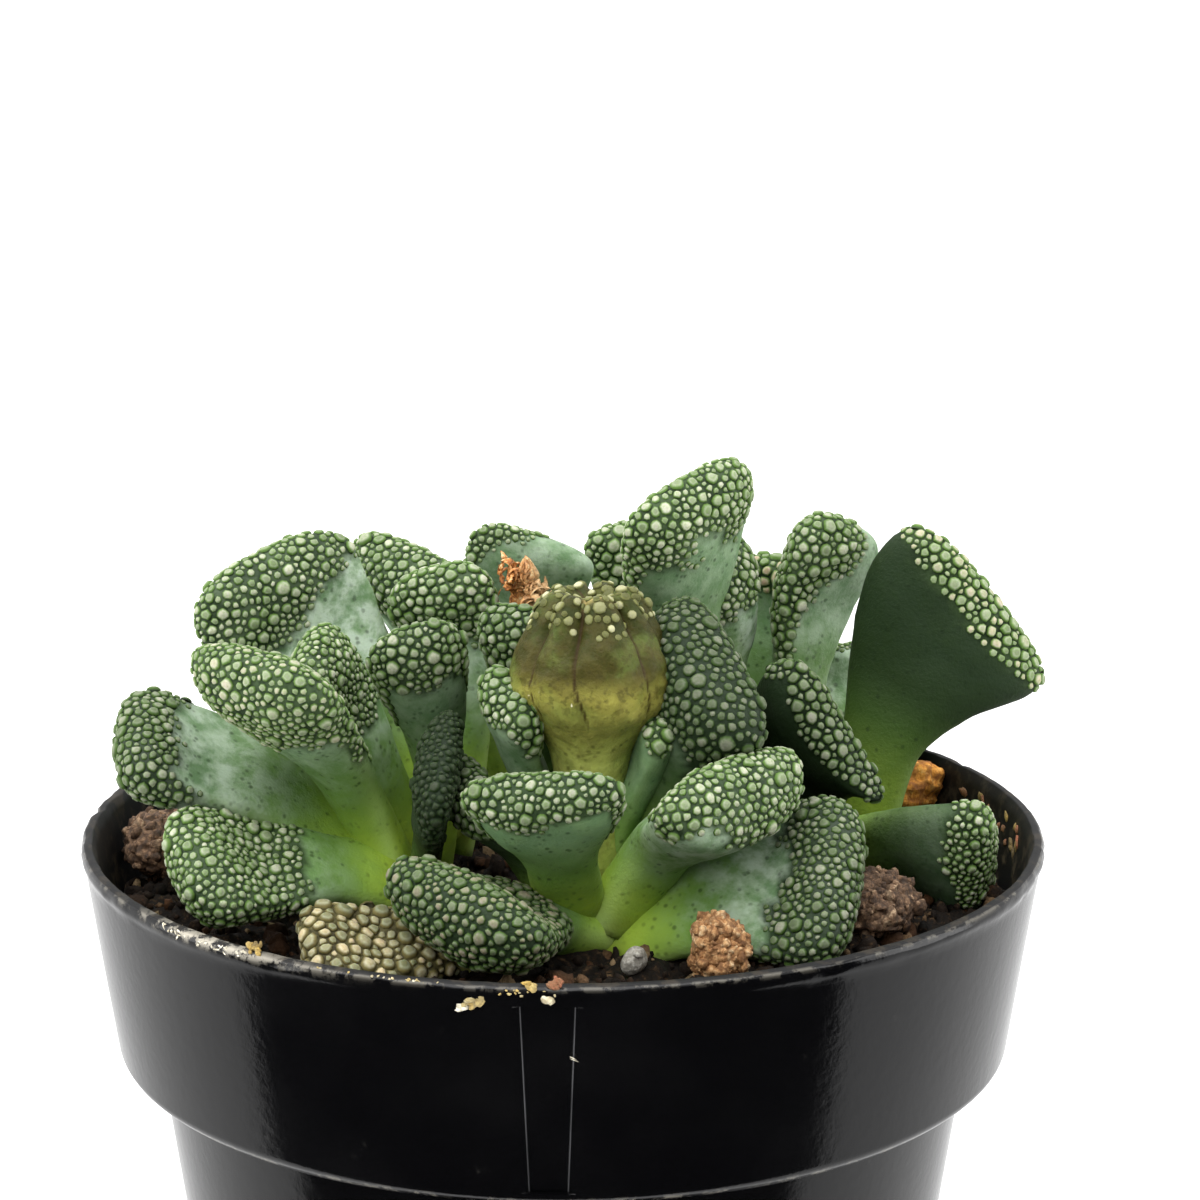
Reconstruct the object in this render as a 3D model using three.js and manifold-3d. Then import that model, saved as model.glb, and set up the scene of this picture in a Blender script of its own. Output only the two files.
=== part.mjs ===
// A concrete-leaf succulent in its black nursery pot.
//
// Millimetres, +Z up. The origin is the centre of the underside of the pot and -Y is the
// front. Four rosettes share the pot. Every leaf is a fleshy stalk that widens into a blunt
// fan, and the fan is paved with warts. The leaves are cut clear of each other, of the bud
// and of the pot wall, so that each one is a separate solid that nearly touches its
// neighbours.

import * as THREE from 'three';
import { mergeVertices } from 'three/addons/utils/BufferGeometryUtils.js';
import Module from 'manifold-3d';

const wasm = await Module();
wasm.setup();

// Driving dimensions

const POT_HEIGHT = 52;
const RIM_RADIUS = 30.35;
const LIP_HEIGHT = 1.2;
const COLLAR_TOP_RADIUS = 30.1;
const COLLAR_FOOT_RADIUS = 28.3;
const COLLAR_FOOT_Z = 38.2;
const BODY_TOP_RADIUS = 25.8;
const BASE_RADIUS = 20.4;
const WALL = 1.0;
const FLOOR = 1.2;
const POT_SIDES = 48;

const STRIP_COUNT = 3;
const STRIP_TOP_WIDTH = 3.0;
const STRIP_FOOT_WIDTH = 1.8;
const STRIP_DEPTH = 0.25;
const STRIP_TURN = -1.6 * Math.PI / 180;

const DRAIN_COUNT = 4;
const DRAIN_RADIUS = 2.2;
const DRAIN_CIRCLE = 13;

const SOIL_Z = 47.0;
const SOIL_BUMP = 0.4;
const SOIL_RINGS = 7;
const SOIL_SIDES = 22;

const GAP = 0.3;
const WART = 0.4;
const WART_CLEAR = 0.36;

// Leaves. root, mid and tip steer the centre line, face is the way the upper side looks,
// neck is the stalk's share of the fan's width, and flare is where the stalk starts to widen.

const LEAVES = [
  { name: 'left_leaf_1', root: [-10, -3, 49], mid: [-13.9, -3, 59], tip: [-18.8, -13, 65.6],
    face: [0.1, -0.05, 1], width: 9.9, thick: 4.5, neck: 0.5, blunt: 3.0, flare: 0.25 },
  { name: 'left_leaf_2', root: [-10, -5, 49.5], mid: [-14, -7, 51.8], tip: [-23, -13, 53.4],
    face: [0.1, -0.55, 0.85], width: 8.5, thick: 4.4, neck: 0.6, blunt: 3.0, flare: 0.35 },
  { name: 'centre_leaf_1', root: [2, -8, 47.8], mid: [-1.5, -10, 49.2], tip: [-6.7, -19, 52.9],
    face: [0.35, 0.1, 1], width: 11, thick: 5.0, neck: 0.45, blunt: 3.0, flare: 0.3 },
  { name: 'centre_leaf_2', root: [0.5, -9, 49], mid: [0, -13, 54.5], tip: [-1.6, -17, 59.8],
    face: [-0.06, 0.25, 1], width: 9.6, thick: 3.3, neck: 0.45, blunt: 3.0, flare: 0.35 },
  { name: 'centre_leaf_3', root: [2.5, -8, 48.2], mid: [6.2, -8, 55], tip: [11, -14, 58.6],
    face: [-0.25, 0.1, 1], width: 11.4, thick: 5.4, neck: 0.45, blunt: 3.0, flare: 0.35 },
  { name: 'centre_leaf_4', root: [2.5, -8, 47], mid: [8.5, -9, 51], tip: [17.7, -12, 52.2],
    face: [-0.1, -0.6, 0.8], width: 11.6, thick: 5.0, neck: 0.6, blunt: 3.0, flare: 0.2 },
  { name: 'left_leaf_3', root: [-11, -2, 49.5], mid: [-17.5, -4, 57], tip: [-27.2, -6, 59.4],
    face: [0.35, -0.35, 0.85], width: 9.0, thick: 4.4, neck: 0.8, blunt: 3.0, flare: 0.35 },
  { name: 'left_leaf_4', root: [-9.5, 1, 49], mid: [-14.7, 2, 58.8], tip: [-19, 2, 69.1],
    face: [0.3, -0.85, 0.45], width: 11.6, thick: 4.4, neck: 0.88, blunt: 2.6, flare: 0.2 },
  { name: 'right_leaf_1', root: [19, 5.5, 48.5], mid: [20.4, 6, 60], tip: [27.4, 6, 65.7],
    face: [0.6, 0.6, 0.5], width: 13.5, thick: 3.6, neck: 0.42, blunt: 3.0, flare: 0.28 },
  { name: 'right_leaf_2', root: [18, 3.5, 49], mid: [22, 0, 50.3], tip: [27.2, -1.5, 49.4],
    face: [0.0, 0.75, 0.6], width: 12.2, thick: 4.6, neck: 0.55, blunt: 3.0, flare: 0.1 },
  { name: 'right_leaf_3', root: [15.5, 3.5, 48.5], mid: [13.6, -1.8, 57.6], tip: [17, -5.2, 59.8],
    face: [0.35, 0.9, 0.1], width: 10.6, thick: 3.3, neck: 0.6, blunt: 3.0, flare: 0.35 },
  { name: 'back_leaf_1', root: [8, 7.5, 48.5], mid: [7.3, 7.5, 64], tip: [7.9, 0, 74],
    face: [-0.5, 0.3, 0.7], width: 10, thick: 4.0, neck: 0.5, blunt: 3.0, flare: 0.35 },
  { name: 'left_leaf_5', root: [-8.5, -4, 49.5], mid: [-8.1, -7, 53.4], tip: [-7, -11, 60],
    face: [0.9, -0.2, 0.2], width: 8.6, thick: 2.7, neck: 0.5, blunt: 3.0, flare: 0.35 },
  { name: 'left_leaf_6', root: [-7.5, 3.5, 49], mid: [-5.2, 6, 59], tip: [-8.3, 3, 67.6],
    face: [-0.25, -0.9, 0.35], width: 6.8, thick: 4.0, neck: 0.5, blunt: 3.0, flare: 0.35 },
  { name: 'centre_leaf_5', root: [2.5, -5, 48.2], mid: [6, -4, 58], tip: [9.8, -8, 65],
    face: [0.9, 0.2, 0.32], width: 12, thick: 5.6, neck: 0.5, blunt: 3.0, flare: 0.35 },
  { name: 'left_leaf_7', root: [-8.5, 1, 48.5], mid: [-7.1, 1, 57.5], tip: [-9.4, -6, 65.9],
    face: [-0.35, 0.2, 1], width: 5.9, thick: 3.2, neck: 0.5, blunt: 3.0, flare: 0.35 },
  { name: 'back_leaf_2', root: [-0.5, 11.5, 48.5], mid: [-8.2, 13, 60], tip: [-10.4, 7, 68],
    face: [0.25, 0.0, 1], width: 9.8, thick: 4.6, neck: 0.5, blunt: 3.0, flare: 0.35 },
  { name: 'right_leaf_4', root: [17, 7.5, 48.5], mid: [13.6, 9, 60], tip: [18.6, 9, 69.5],
    face: [0.6, -0.75, 0.2], width: 6.8, thick: 4.0, neck: 0.48, blunt: 3.0, flare: 0.35 },
  { name: 'left_leaf_8', root: [-10, -1, 49], mid: [-11.5, -1, 57], tip: [-15.6, -4, 64.6],
    face: [0.3, -0.5, 0.8], width: 6.4, thick: 3.2, neck: 0.75, blunt: 3.0, flare: 0.3 },
  { name: 'centre_leaf_6', root: [0.5, -4, 48.2], mid: [-1.4, -4, 56], tip: [-3.4, -9, 63.2],
    face: [0.3, -0.3, 0.9], width: 5.8, thick: 2.9, neck: 0.5, blunt: 3.0, flare: 0.35 },
  { name: 'centre_leaf_7', root: [2, -7, 48.2], mid: [3.5, -7, 55.5], tip: [5.9, -8.6, 61.5],
    face: [-0.85, -0.2, 0.3], width: 4.8, thick: 2.5, neck: 0.5, blunt: 3.0, flare: 0.35 },
  { name: 'centre_leaf_8', root: [0.5, -6, 48], mid: [-2.6, -6, 53.4], tip: [-6, -9, 57.2],
    face: [0.6, 0.1, 0.7], width: 8.6, thick: 3.4, neck: 0.5, blunt: 3.0, flare: 0.35 },
  { name: 'centre_leaf_9', root: [1, -2, 48.2], mid: [-1.4, 0, 57.5], tip: [-3.3, -2, 66.5],
    face: [0.1, 0.3, 1], width: 4.8, thick: 3.0, neck: 0.5, blunt: 3.0, flare: 0.35 },
  { name: 'back_leaf_3', root: [0.5, 11, 49], mid: [-4.4, 13, 60.4], tip: [-1.6, 12, 67.9],
    face: [0.2, -0.9, 0.35], width: 8.6, thick: 3.6, neck: 0.6, blunt: 3.6, flare: 0.3 },
  { name: 'back_leaf_4', root: [9.5, 10, 48.5], mid: [10.5, 11, 60], tip: [9.7, 7, 68],
    face: [-0.2, -0.3, 0.8], width: 6.6, thick: 4.4, neck: 0.5, blunt: 3.0, flare: 0.35 },
  { name: 'back_leaf_5', root: [5.5, 13, 48.5], mid: [4.9, 17.5, 61], tip: [3.6, 17, 67.5],
    face: [0, -0.6, 0.6], width: 4.5, thick: 3.0, neck: 0.6, blunt: 3.0, flare: 0.35 },
  { name: 'back_leaf_6', root: [11.5, 12, 48.5], mid: [14, 14, 60], tip: [13.7, 13, 66.2],
    face: [-0.2, -0.5, 0.8], width: 4.6, thick: 3.2, neck: 0.6, blunt: 3.0, flare: 0.35 },
  { name: 'right_leaf_5', root: [18.5, 9, 49], mid: [19, 13, 56], tip: [18.4, 14, 60],
    face: [0, -0.7, 0.7], width: 4.0, thick: 2.4, neck: 0.6, blunt: 3.0, flare: 0.35 },
  { name: 'old_leaf', root: [-4, -11, 47.2], mid: [-7.5, -14, 49], tip: [-15.1, -17, 49.5],
    face: [0.05, -0.45, 0.9], width: 6.8, thick: 3.2, neck: 0.65, blunt: 3.0, flare: 0.3 },
  { name: 'left_leaf_9', root: [-10, 2, 48.5], mid: [-12, 9, 56], tip: [-17, 17, 58],
    face: [0.3, -0.6, 0.8], width: 9.5, thick: 4.4, neck: 0.5, blunt: 3.0, flare: 0.35 },
  { name: 'left_leaf_10', root: [-11.5, 1, 48.5], mid: [-18, 6, 51], tip: [-24, 11, 51],
    face: [0.3, -0.2, 1], width: 8.5, thick: 4.2, neck: 0.5, blunt: 3.0, flare: 0.35 },
  { name: 'back_leaf_7', root: [3, 12.5, 48.5], mid: [-1, 17, 56], tip: [-5, 24, 58],
    face: [0.2, -0.6, 0.8], width: 9.0, thick: 4.4, neck: 0.5, blunt: 3.0, flare: 0.35 },
  { name: 'back_leaf_8', root: [6.5, 13.5, 48.5], mid: [8, 19, 56], tip: [9, 25.5, 56],
    face: [-0.1, -0.5, 0.9], width: 10, thick: 4.6, neck: 0.5, blunt: 3.0, flare: 0.35 },
  { name: 'right_leaf_6', root: [18, 9, 48.5], mid: [18, 16, 53], tip: [19.5, 21.5, 54],
    face: [-0.1, -0.6, 0.8], width: 8.5, thick: 4.2, neck: 0.5, blunt: 3.0, flare: 0.35 },
  { name: 'right_leaf_7', root: [20, 8.5, 48.5], mid: [21, 12.5, 52], tip: [22.5, 19, 54.5],
    face: [-0.4, -0.5, 0.7], width: 6.5, thick: 3.6, neck: 0.5, blunt: 3.0, flare: 0.35 },
  { name: 'back_leaf_9', root: [4.5, 9, 49], mid: [3, 8, 54], tip: [1, 5.5, 58.5],
    face: [0.3, 0.6, 0.7], width: 6.5, thick: 3.6, neck: 0.5, blunt: 3.0, flare: 0.35 },
  { name: 'back_leaf_10', root: [-1, 12, 48.5], mid: [-9, 13, 52], tip: [-14, 22, 52],
    face: [0.3, -0.5, 0.8], width: 6.5, thick: 3.6, neck: 0.5, blunt: 3.0, flare: 0.35 },
];

const CROWNS = [
  { name: 'left_crown', at: [-9.5, -0.5], radius: 3.6 },
  { name: 'centre_crown', at: [1.5, -6], radius: 3.6 },
  { name: 'back_crown', at: [5.5, 10.5], radius: 4.2 },
  { name: 'right_crown', at: [18.5, 6], radius: 3.2 },
];
const CROWN_TOP = 49.0;
const ROOT_TIP_Z = 36;

const BUD_AT = [1.7, -7];
const BUD_LOBES = 8;
// height and radius up the bud: the stalk first, then the calyx with its blunt, open top
const BUD_PROFILE = [
  [46.5, 2.1], [57, 2.2], [59.2, 2.7], [60.5, 3.5], [61.7, 4.4], [63.2, 4.95],
  [64.8, 4.65], [66.6, 3.8], [67.8, 2.9], [68.4, 1.9],
];

const LOOSE = [
  { name: 'bark_chip', at: [23.6, 13.4, 50.1], size: [2.5, 1.6, 2.0], turn: 0.7, seed: 3 },
  { name: 'clod_left', at: [-25.6, 3.6, 49.4], size: [2.7, 3.0, 2.1], turn: 0.2, seed: 5 },
  { name: 'clod_right', at: [19.2, -7.3, 48.9], size: [2.9, 2.4, 1.9], turn: 0.5, seed: 8 },
  { name: 'clod_front', at: [9.2, -15.4, 48.9], size: [1.7, 1.5, 2.1], turn: 0.1, seed: 11 },
  { name: 'grit_flake', at: [4.2, -15.4, 48.2], size: [1.0, 0.7, 0.9], turn: 0.9, seed: 14 },
];

// Small helpers

const clamp01 = (x) => Math.min(1, Math.max(0, x));
function smooth(a, b, x) {
  const t = clamp01((x - a) / (b - a));
  return t * t * (3 - 2 * t);
}
function hash(i, j, k) {
  const v = Math.sin(i * 127.1 + j * 311.7 + k * 74.7) * 43758.5453;
  return v - Math.floor(v);
}
const signed = (v, p) => Math.sign(v) * Math.abs(v) ** p;

// A closed solid from points and triangles; the winding is put right by its volume.
function solidFrom(points, triangles) {
  let volume = 0;
  for (const [a, b, c] of triangles) {
    volume += points[a].dot(new THREE.Vector3().crossVectors(points[b], points[c]));
  }
  const index = [];
  for (const [a, b, c] of triangles) index.push(...(volume > 0 ? [a, b, c] : [a, c, b]));
  const geometry = new THREE.BufferGeometry();
  geometry.setAttribute('position', new THREE.Float32BufferAttribute(
    points.flatMap((p) => [p.x, p.y, p.z]), 3));
  geometry.setIndex(index);
  return solidFromGeometry(geometry);
}

function solidFromGeometry(source) {
  const geometry = source.clone();
  for (const name of Object.keys(geometry.attributes)) {
    if (name !== 'position') geometry.deleteAttribute(name);
  }
  const merged = mergeVertices(geometry, 1e-4);
  const index = merged.index.array;
  const triVerts = [];
  for (let i = 0; i < index.length; i += 3) {
    const [a, b, c] = [index[i], index[i + 1], index[i + 2]];
    if (a !== b && b !== c && a !== c) triVerts.push(a, b, c);
  }
  return new wasm.Manifold(new wasm.Mesh({
    numProp: 3,
    vertProperties: Float32Array.from(merged.attributes.position.array),
    triVerts: Uint32Array.from(triVerts),
  }));
}

function geometryFrom(solid) {
  const mesh = solid.getMesh();
  const geometry = new THREE.BufferGeometry();
  const position = new Float32Array(mesh.numVert * 3);
  for (let i = 0; i < mesh.numVert; i++) {
    for (let k = 0; k < 3; k++) {
      position[3 * i + k] = mesh.vertProperties[i * mesh.numProp + k];
    }
  }
  geometry.setAttribute('position', new THREE.BufferAttribute(position, 3));
  geometry.setIndex(Array.from(mesh.triVerts));
  geometry.computeVertexNormals();
  return geometry;
}

function largest(solid) {
  return solid.decompose().sort((a, b) => b.volume() - a.volume())[0];
}

function boxesMeet(a, b) {
  const p = a.boundingBox();
  const q = b.boundingBox();
  return [0, 1, 2].every((k) => p.min[k] < q.max[k] && q.min[k] < p.max[k]);
}

// Rings of points, closed at both ends. warts(i, j) is the height of the wart on the face
// between ring i and ring i + 1 at column j, or 0 where that face stays plain.
function skinOfRings(rings, startPoint, endPoint, warts, seed) {
  const points = rings.flat();
  const triangles = [];
  const columns = rings[0].length;
  const at = (i, j) => i * columns + (j % columns);
  for (let i = 0; i + 1 < rings.length; i++) {
    for (let j = 0; j < columns; j++) {
      const [a, b, c, d] = [at(i, j), at(i, j + 1), at(i + 1, j + 1), at(i + 1, j)];
      const height = warts ? warts(i, j) : 0;
      if (height <= 0) {
        triangles.push([a, b, c], [a, c, d]);
        continue;
      }
      const u = 0.5 + 0.14 * (hash(i, j, seed) - 0.5);
      const v = 0.5 + 0.14 * (hash(j, i, seed + 9) - 0.5);
      const low = points[a].clone().lerp(points[b], u);
      const high = points[d].clone().lerp(points[c], u);
      const peak = low.lerp(high, v);
      const normal = new THREE.Vector3().crossVectors(
        points[b].clone().sub(points[a]).add(points[c].clone().sub(points[d])),
        points[d].clone().sub(points[a]).add(points[c].clone().sub(points[b])));
      peak.addScaledVector(normal.normalize(), height);
      points.push(peak);
      const p = points.length - 1;
      triangles.push([a, b, p], [b, c, p], [c, d, p], [d, a, p]);
    }
  }
  const start = points.push(startPoint) - 1;
  const end = points.push(endPoint) - 1;
  for (let j = 0; j < columns; j++) {
    triangles.push([at(0, j + 1), at(0, j), start]);
    triangles.push([at(rings.length - 1, j), at(rings.length - 1, j + 1), end]);
  }
  return solidFrom(points, triangles);
}

// Leaves

const CAP_START = 0.86;

// Stations along the centre line: evenly up the stalk and fan, then round the blunt end.
function leafStations(blunt, fine) {
  const out = (fine ? [0, 0.3, 0.52, 0.65, 0.76] : [0, 0.36, 0.62])
    .map((s) => ({ s, wide: 1, deep: 1 }));
  const steps = fine ? [0, 40, 72] : [0, 45, 76];
  for (const degrees of steps) {
    const q = Math.sin(degrees * Math.PI / 180) ** (2 / blunt);
    out.push({
      s: CAP_START + (1 - CAP_START) * q,
      wide: Math.max(0.05, 1 - q ** blunt) ** (1 / blunt),
      deep: Math.max(0.05, 1 - q ** 2.2) ** (1 / 2.2),
    });
  }
  return out;
}

// One leaf. grow swells the whole leaf by that much, for cutting its neighbours clear.
function leafSolid(leaf, seed, grow) {
  const root = new THREE.Vector3(...leaf.root);
  const mid = new THREE.Vector3(...leaf.mid);
  const tip = new THREE.Vector3(...leaf.tip);
  const face = new THREE.Vector3(...leaf.face);
  const curve = new THREE.QuadraticBezierCurve3(root, mid, tip);
  const columns = leaf.width > 9 ? 12 : leaf.width > 6 ? 10 : 8;
  const stations = leafStations(leaf.blunt, leaf.width > 7);
  const rings = stations.map(({ s, wide, deep }) => {
    const centre = curve.getPoint(s);
    const along = curve.getTangent(s);
    const up = face.clone().addScaledVector(along, -along.dot(face)).normalize();
    const side = new THREE.Vector3().crossVectors(along, up);
    const spread = leaf.neck + (1 - leaf.neck) * smooth(leaf.flare, 0.9, s);
    const swell = grow ? grow + WART_CLEAR * smooth(0.4, 0.6, s) : 0;
    const half = leaf.width / 2 * spread * wide + swell;
    const depth = leaf.thick * (0.72 + 0.28 * smooth(0.4, 0.85, s)) * deep;
    const dish = 0.22 * leaf.thick * Math.exp(-(((s - 0.72) / 0.13) ** 2));
    const nudge = grow ? swell * smooth(0.7, 1, s) : 0;
    const ring = [];
    for (let j = 0; j < columns; j++) {
      const angle = 2 * Math.PI * j / columns;
      const c = Math.cos(angle);
      const n = Math.sin(angle);
      let lift = n > 0 ? 0.40 * depth * n ** 0.8 : -0.60 * depth * (-n) ** 1.15;
      if (n > 0) lift -= dish * n ** 1.5;
      lift += swell * n;
      ring.push(centre.clone().addScaledVector(side, half * signed(c, 0.85))
        .addScaledVector(up, lift).addScaledVector(along, nudge));
    }
    return ring;
  });
  const startPoint = curve.getPoint(0).addScaledVector(curve.getTangent(0), -(grow || 0));
  const endPoint = curve.getPoint(1).addScaledVector(curve.getTangent(1),
    grow ? grow + WART_CLEAR : 0.3);
  // Warts start soonest along the edges, later on the face and last on the underside.
  const warts = (i, j) => {
    const angle = 2 * Math.PI * (j + 0.5) / columns;
    const n = Math.sin(angle);
    const from = n > 0.4 ? 0.62 : n > -0.4 ? 0.52 : 0.76;
    if (stations[i].s < from) return 0;
    return WART * (0.65 + 0.35 * hash(i, j, seed + 4));
  };
  return skinOfRings(rings, startPoint, endPoint, grow ? null : warts, seed);
}

// Flower bud: a thick stalk and a calyx of lobes folded together, warty on top. Two columns
// to a lobe, one on its ridge and one in the seam.

function budSolid(grow) {
  const columns = BUD_LOBES * 2;
  const rings = BUD_PROFILE.map(([z, radius]) => {
    const ring = [];
    const calyx = smooth(59, 62, z);
    for (let j = 0; j < columns; j++) {
      const angle = 2 * Math.PI * j / columns;
      const fold = grow ? 1 : 1 + calyx * (0.045 * Math.cos(BUD_LOBES * angle) - 0.03);
      const r = radius * fold + (grow ? grow + WART_CLEAR * calyx : 0);
      const lift = grow ? (grow + WART_CLEAR) * smooth(65, 68, z) : 0;
      ring.push(new THREE.Vector3(BUD_AT[0] + r * Math.cos(angle),
        BUD_AT[1] + r * Math.sin(angle), z + lift));
    }
    return ring;
  });
  const top = BUD_PROFILE[BUD_PROFILE.length - 1][0] + (grow ? grow + WART_CLEAR : 0.1);
  const foot = BUD_PROFILE[0][0] - (grow || 0.1);
  const warts = (i, j) => (BUD_PROFILE[i][0] < 61 ? 0 : 0.3 * (0.6 + 0.4 * hash(i, j, 77)));
  return skinOfRings(rings, new THREE.Vector3(...BUD_AT, foot),
    new THREE.Vector3(...BUD_AT, top), grow ? null : warts, 5);
}

// Withered flower: a thin bent stalk with a crumpled head

function witheredSolid(grow) {
  const curve = new THREE.QuadraticBezierCurve3(new THREE.Vector3(2.5, 8, 48.5),
    new THREE.Vector3(-2.6, 5.6, 58), new THREE.Vector3(-2.4, 3.6, 68.3));
  const radii = [0.8, 0.75, 0.7, 0.7, 0.75, 1.5, 1.75, 1.5, 0.7];
  const steps = [0, 0.25, 0.5, 0.7, 0.8, 0.85, 0.91, 0.96, 1];
  const rings = steps.map((s, i) => {
    const centre = curve.getPoint(s);
    const along = curve.getTangent(s);
    const side = new THREE.Vector3(1, 0, 0).addScaledVector(along, -along.x).normalize();
    const up = new THREE.Vector3().crossVectors(along, side);
    return Array.from({ length: 9 }, (unused, j) => {
      const angle = 2 * Math.PI * j / 9;
      const crumple = grow || i < 5 ? 1 : 0.78 + 0.44 * hash(i, j, 21);
      const r = radii[i] * crumple + (grow ? grow + 0.3 * smooth(0.7, 0.85, s) : 0);
      return centre.clone().addScaledVector(side, r * Math.cos(angle))
        .addScaledVector(up, r * Math.sin(angle));
    });
  });
  const over = grow || 0.05;
  return skinOfRings(rings, curve.getPoint(0).addScaledVector(curve.getTangent(0), -over),
    curve.getPoint(1).addScaledVector(curve.getTangent(1), over), null, 2);
}

// Pot

function latheSolid(profile, sides) {
  const outline = profile.map(([r, z]) => new THREE.Vector2(r, z));
  const geometry = new THREE.LatheGeometry(outline, sides);
  geometry.rotateX(Math.PI / 2);
  const solid = solidFromGeometry(geometry);
  if (solid.volume() > 0) return solid;
  const index = geometry.index.array;
  for (let i = 0; i < index.length; i += 3) {
    [index[i], index[i + 1]] = [index[i + 1], index[i]];
  }
  return solidFromGeometry(geometry);
}

// Radius of the inside of the wall at height z.
const WALL_INSIDE = [
  [FLOOR, BASE_RADIUS + 0.17 - WALL], [37.0, 24.75], [39.0, 27.35], [51.4, 29.35],
  [POT_HEIGHT, 29.65],
];
function insideRadius(z) {
  for (let i = 0; i + 1 < WALL_INSIDE.length; i++) {
    const [z0, r0] = WALL_INSIDE[i];
    const [z1, r1] = WALL_INSIDE[i + 1];
    if (z <= z1) return r0 + (r1 - r0) * (z - z0) / (z1 - z0);
  }
  return WALL_INSIDE[WALL_INSIDE.length - 1][1];
}

function stripCutter(zTop, rTop, zFoot, rFoot, widthTop, widthFoot) {
  const outline = new THREE.Shape();
  const height = Math.hypot(zTop - zFoot, rTop - rFoot);
  outline.moveTo(-widthFoot / 2, 0);
  outline.lineTo(widthFoot / 2, 0);
  outline.lineTo(widthTop / 2, height);
  outline.lineTo(-widthTop / 2, height);
  outline.closePath();
  const geometry = new THREE.ExtrudeGeometry(outline, { depth: 4, bevelEnabled: false });
  geometry.translate(0, 0, -STRIP_DEPTH);
  geometry.rotateX(Math.PI / 2 + Math.atan2(rTop - rFoot, zTop - zFoot));
  geometry.translate(0, -rFoot, zFoot);
  return geometry;
}

function potSolid() {
  const outside = [
    [0, 0], [BASE_RADIUS - 0.6, 0], [BASE_RADIUS, 0.6], [BODY_TOP_RADIUS, COLLAR_FOOT_Z - 0.4],
    [COLLAR_FOOT_RADIUS - 0.7, COLLAR_FOOT_Z - 0.2], [COLLAR_FOOT_RADIUS, COLLAR_FOOT_Z + 0.4],
    [COLLAR_TOP_RADIUS, POT_HEIGHT - LIP_HEIGHT], [RIM_RADIUS, POT_HEIGHT - LIP_HEIGHT / 2],
    [RIM_RADIUS - 0.1, POT_HEIGHT - 0.2], [RIM_RADIUS - 0.35, POT_HEIGHT],
  ];
  const inside = WALL_INSIDE.slice().reverse().map(([z, r]) => [r, z]);
  let pot = latheSolid([...outside, ...inside, [0, FLOOR]], POT_SIDES);
  const shift = Math.PI / POT_SIDES;
  for (let i = 0; i < STRIP_COUNT; i++) {
    const turn = STRIP_TURN + 2 * Math.PI * i / STRIP_COUNT;
    const low = STRIP_FOOT_WIDTH;
    const middle = low + 0.75 * (STRIP_TOP_WIDTH - low);
    for (const part of [
      stripCutter(POT_HEIGHT - LIP_HEIGHT - 0.1, COLLAR_TOP_RADIUS, COLLAR_FOOT_Z + 0.5,
        COLLAR_FOOT_RADIUS + 0.02, STRIP_TOP_WIDTH, middle),
      stripCutter(COLLAR_FOOT_Z - 1, BODY_TOP_RADIUS - 0.1, 2, BASE_RADIUS + 0.2,
        middle - 0.2, low),
    ]) {
      pot = pot.subtract(solidFromGeometry(part.rotateZ(turn)));
    }
  }
  for (let i = 0; i < DRAIN_COUNT; i++) {
    const turn = 2 * Math.PI * (i + 0.5) / DRAIN_COUNT + shift;
    const drill = new THREE.CylinderGeometry(DRAIN_RADIUS, DRAIN_RADIUS, 4, 12);
    drill.rotateX(Math.PI / 2);
    drill.translate(DRAIN_CIRCLE * Math.cos(turn), DRAIN_CIRCLE * Math.sin(turn), 0.6);
    pot = pot.subtract(solidFromGeometry(drill));
  }
  return pot;
}

// Keeps what leans over the rim clear of the wall.
function wallKeepOut() {
  const inner = WALL_INSIDE.map(([z, r]) => [r - GAP, z]);
  return latheSolid([...inner, [29.65 - GAP, POT_HEIGHT + GAP], [RIM_RADIUS + 3, POT_HEIGHT + GAP],
    [RIM_RADIUS + 3, FLOOR], [BASE_RADIUS + 0.17 - WALL - GAP, FLOOR]], POT_SIDES);
}

// Soil: fills the pot, with a lumpy top that falls a little towards the wall

function soilHeight(x, y) {
  const r = Math.hypot(x, y);
  const waves = Math.sin(x * 0.71 + 1.3) * Math.cos(y * 0.63 - 0.4)
    + 0.7 * Math.sin(x * 1.27 - y * 1.61 + 2.1);
  return SOIL_Z + SOIL_BUMP * waves * (1 - 0.6 * smooth(22, 28, r));
}

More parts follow.
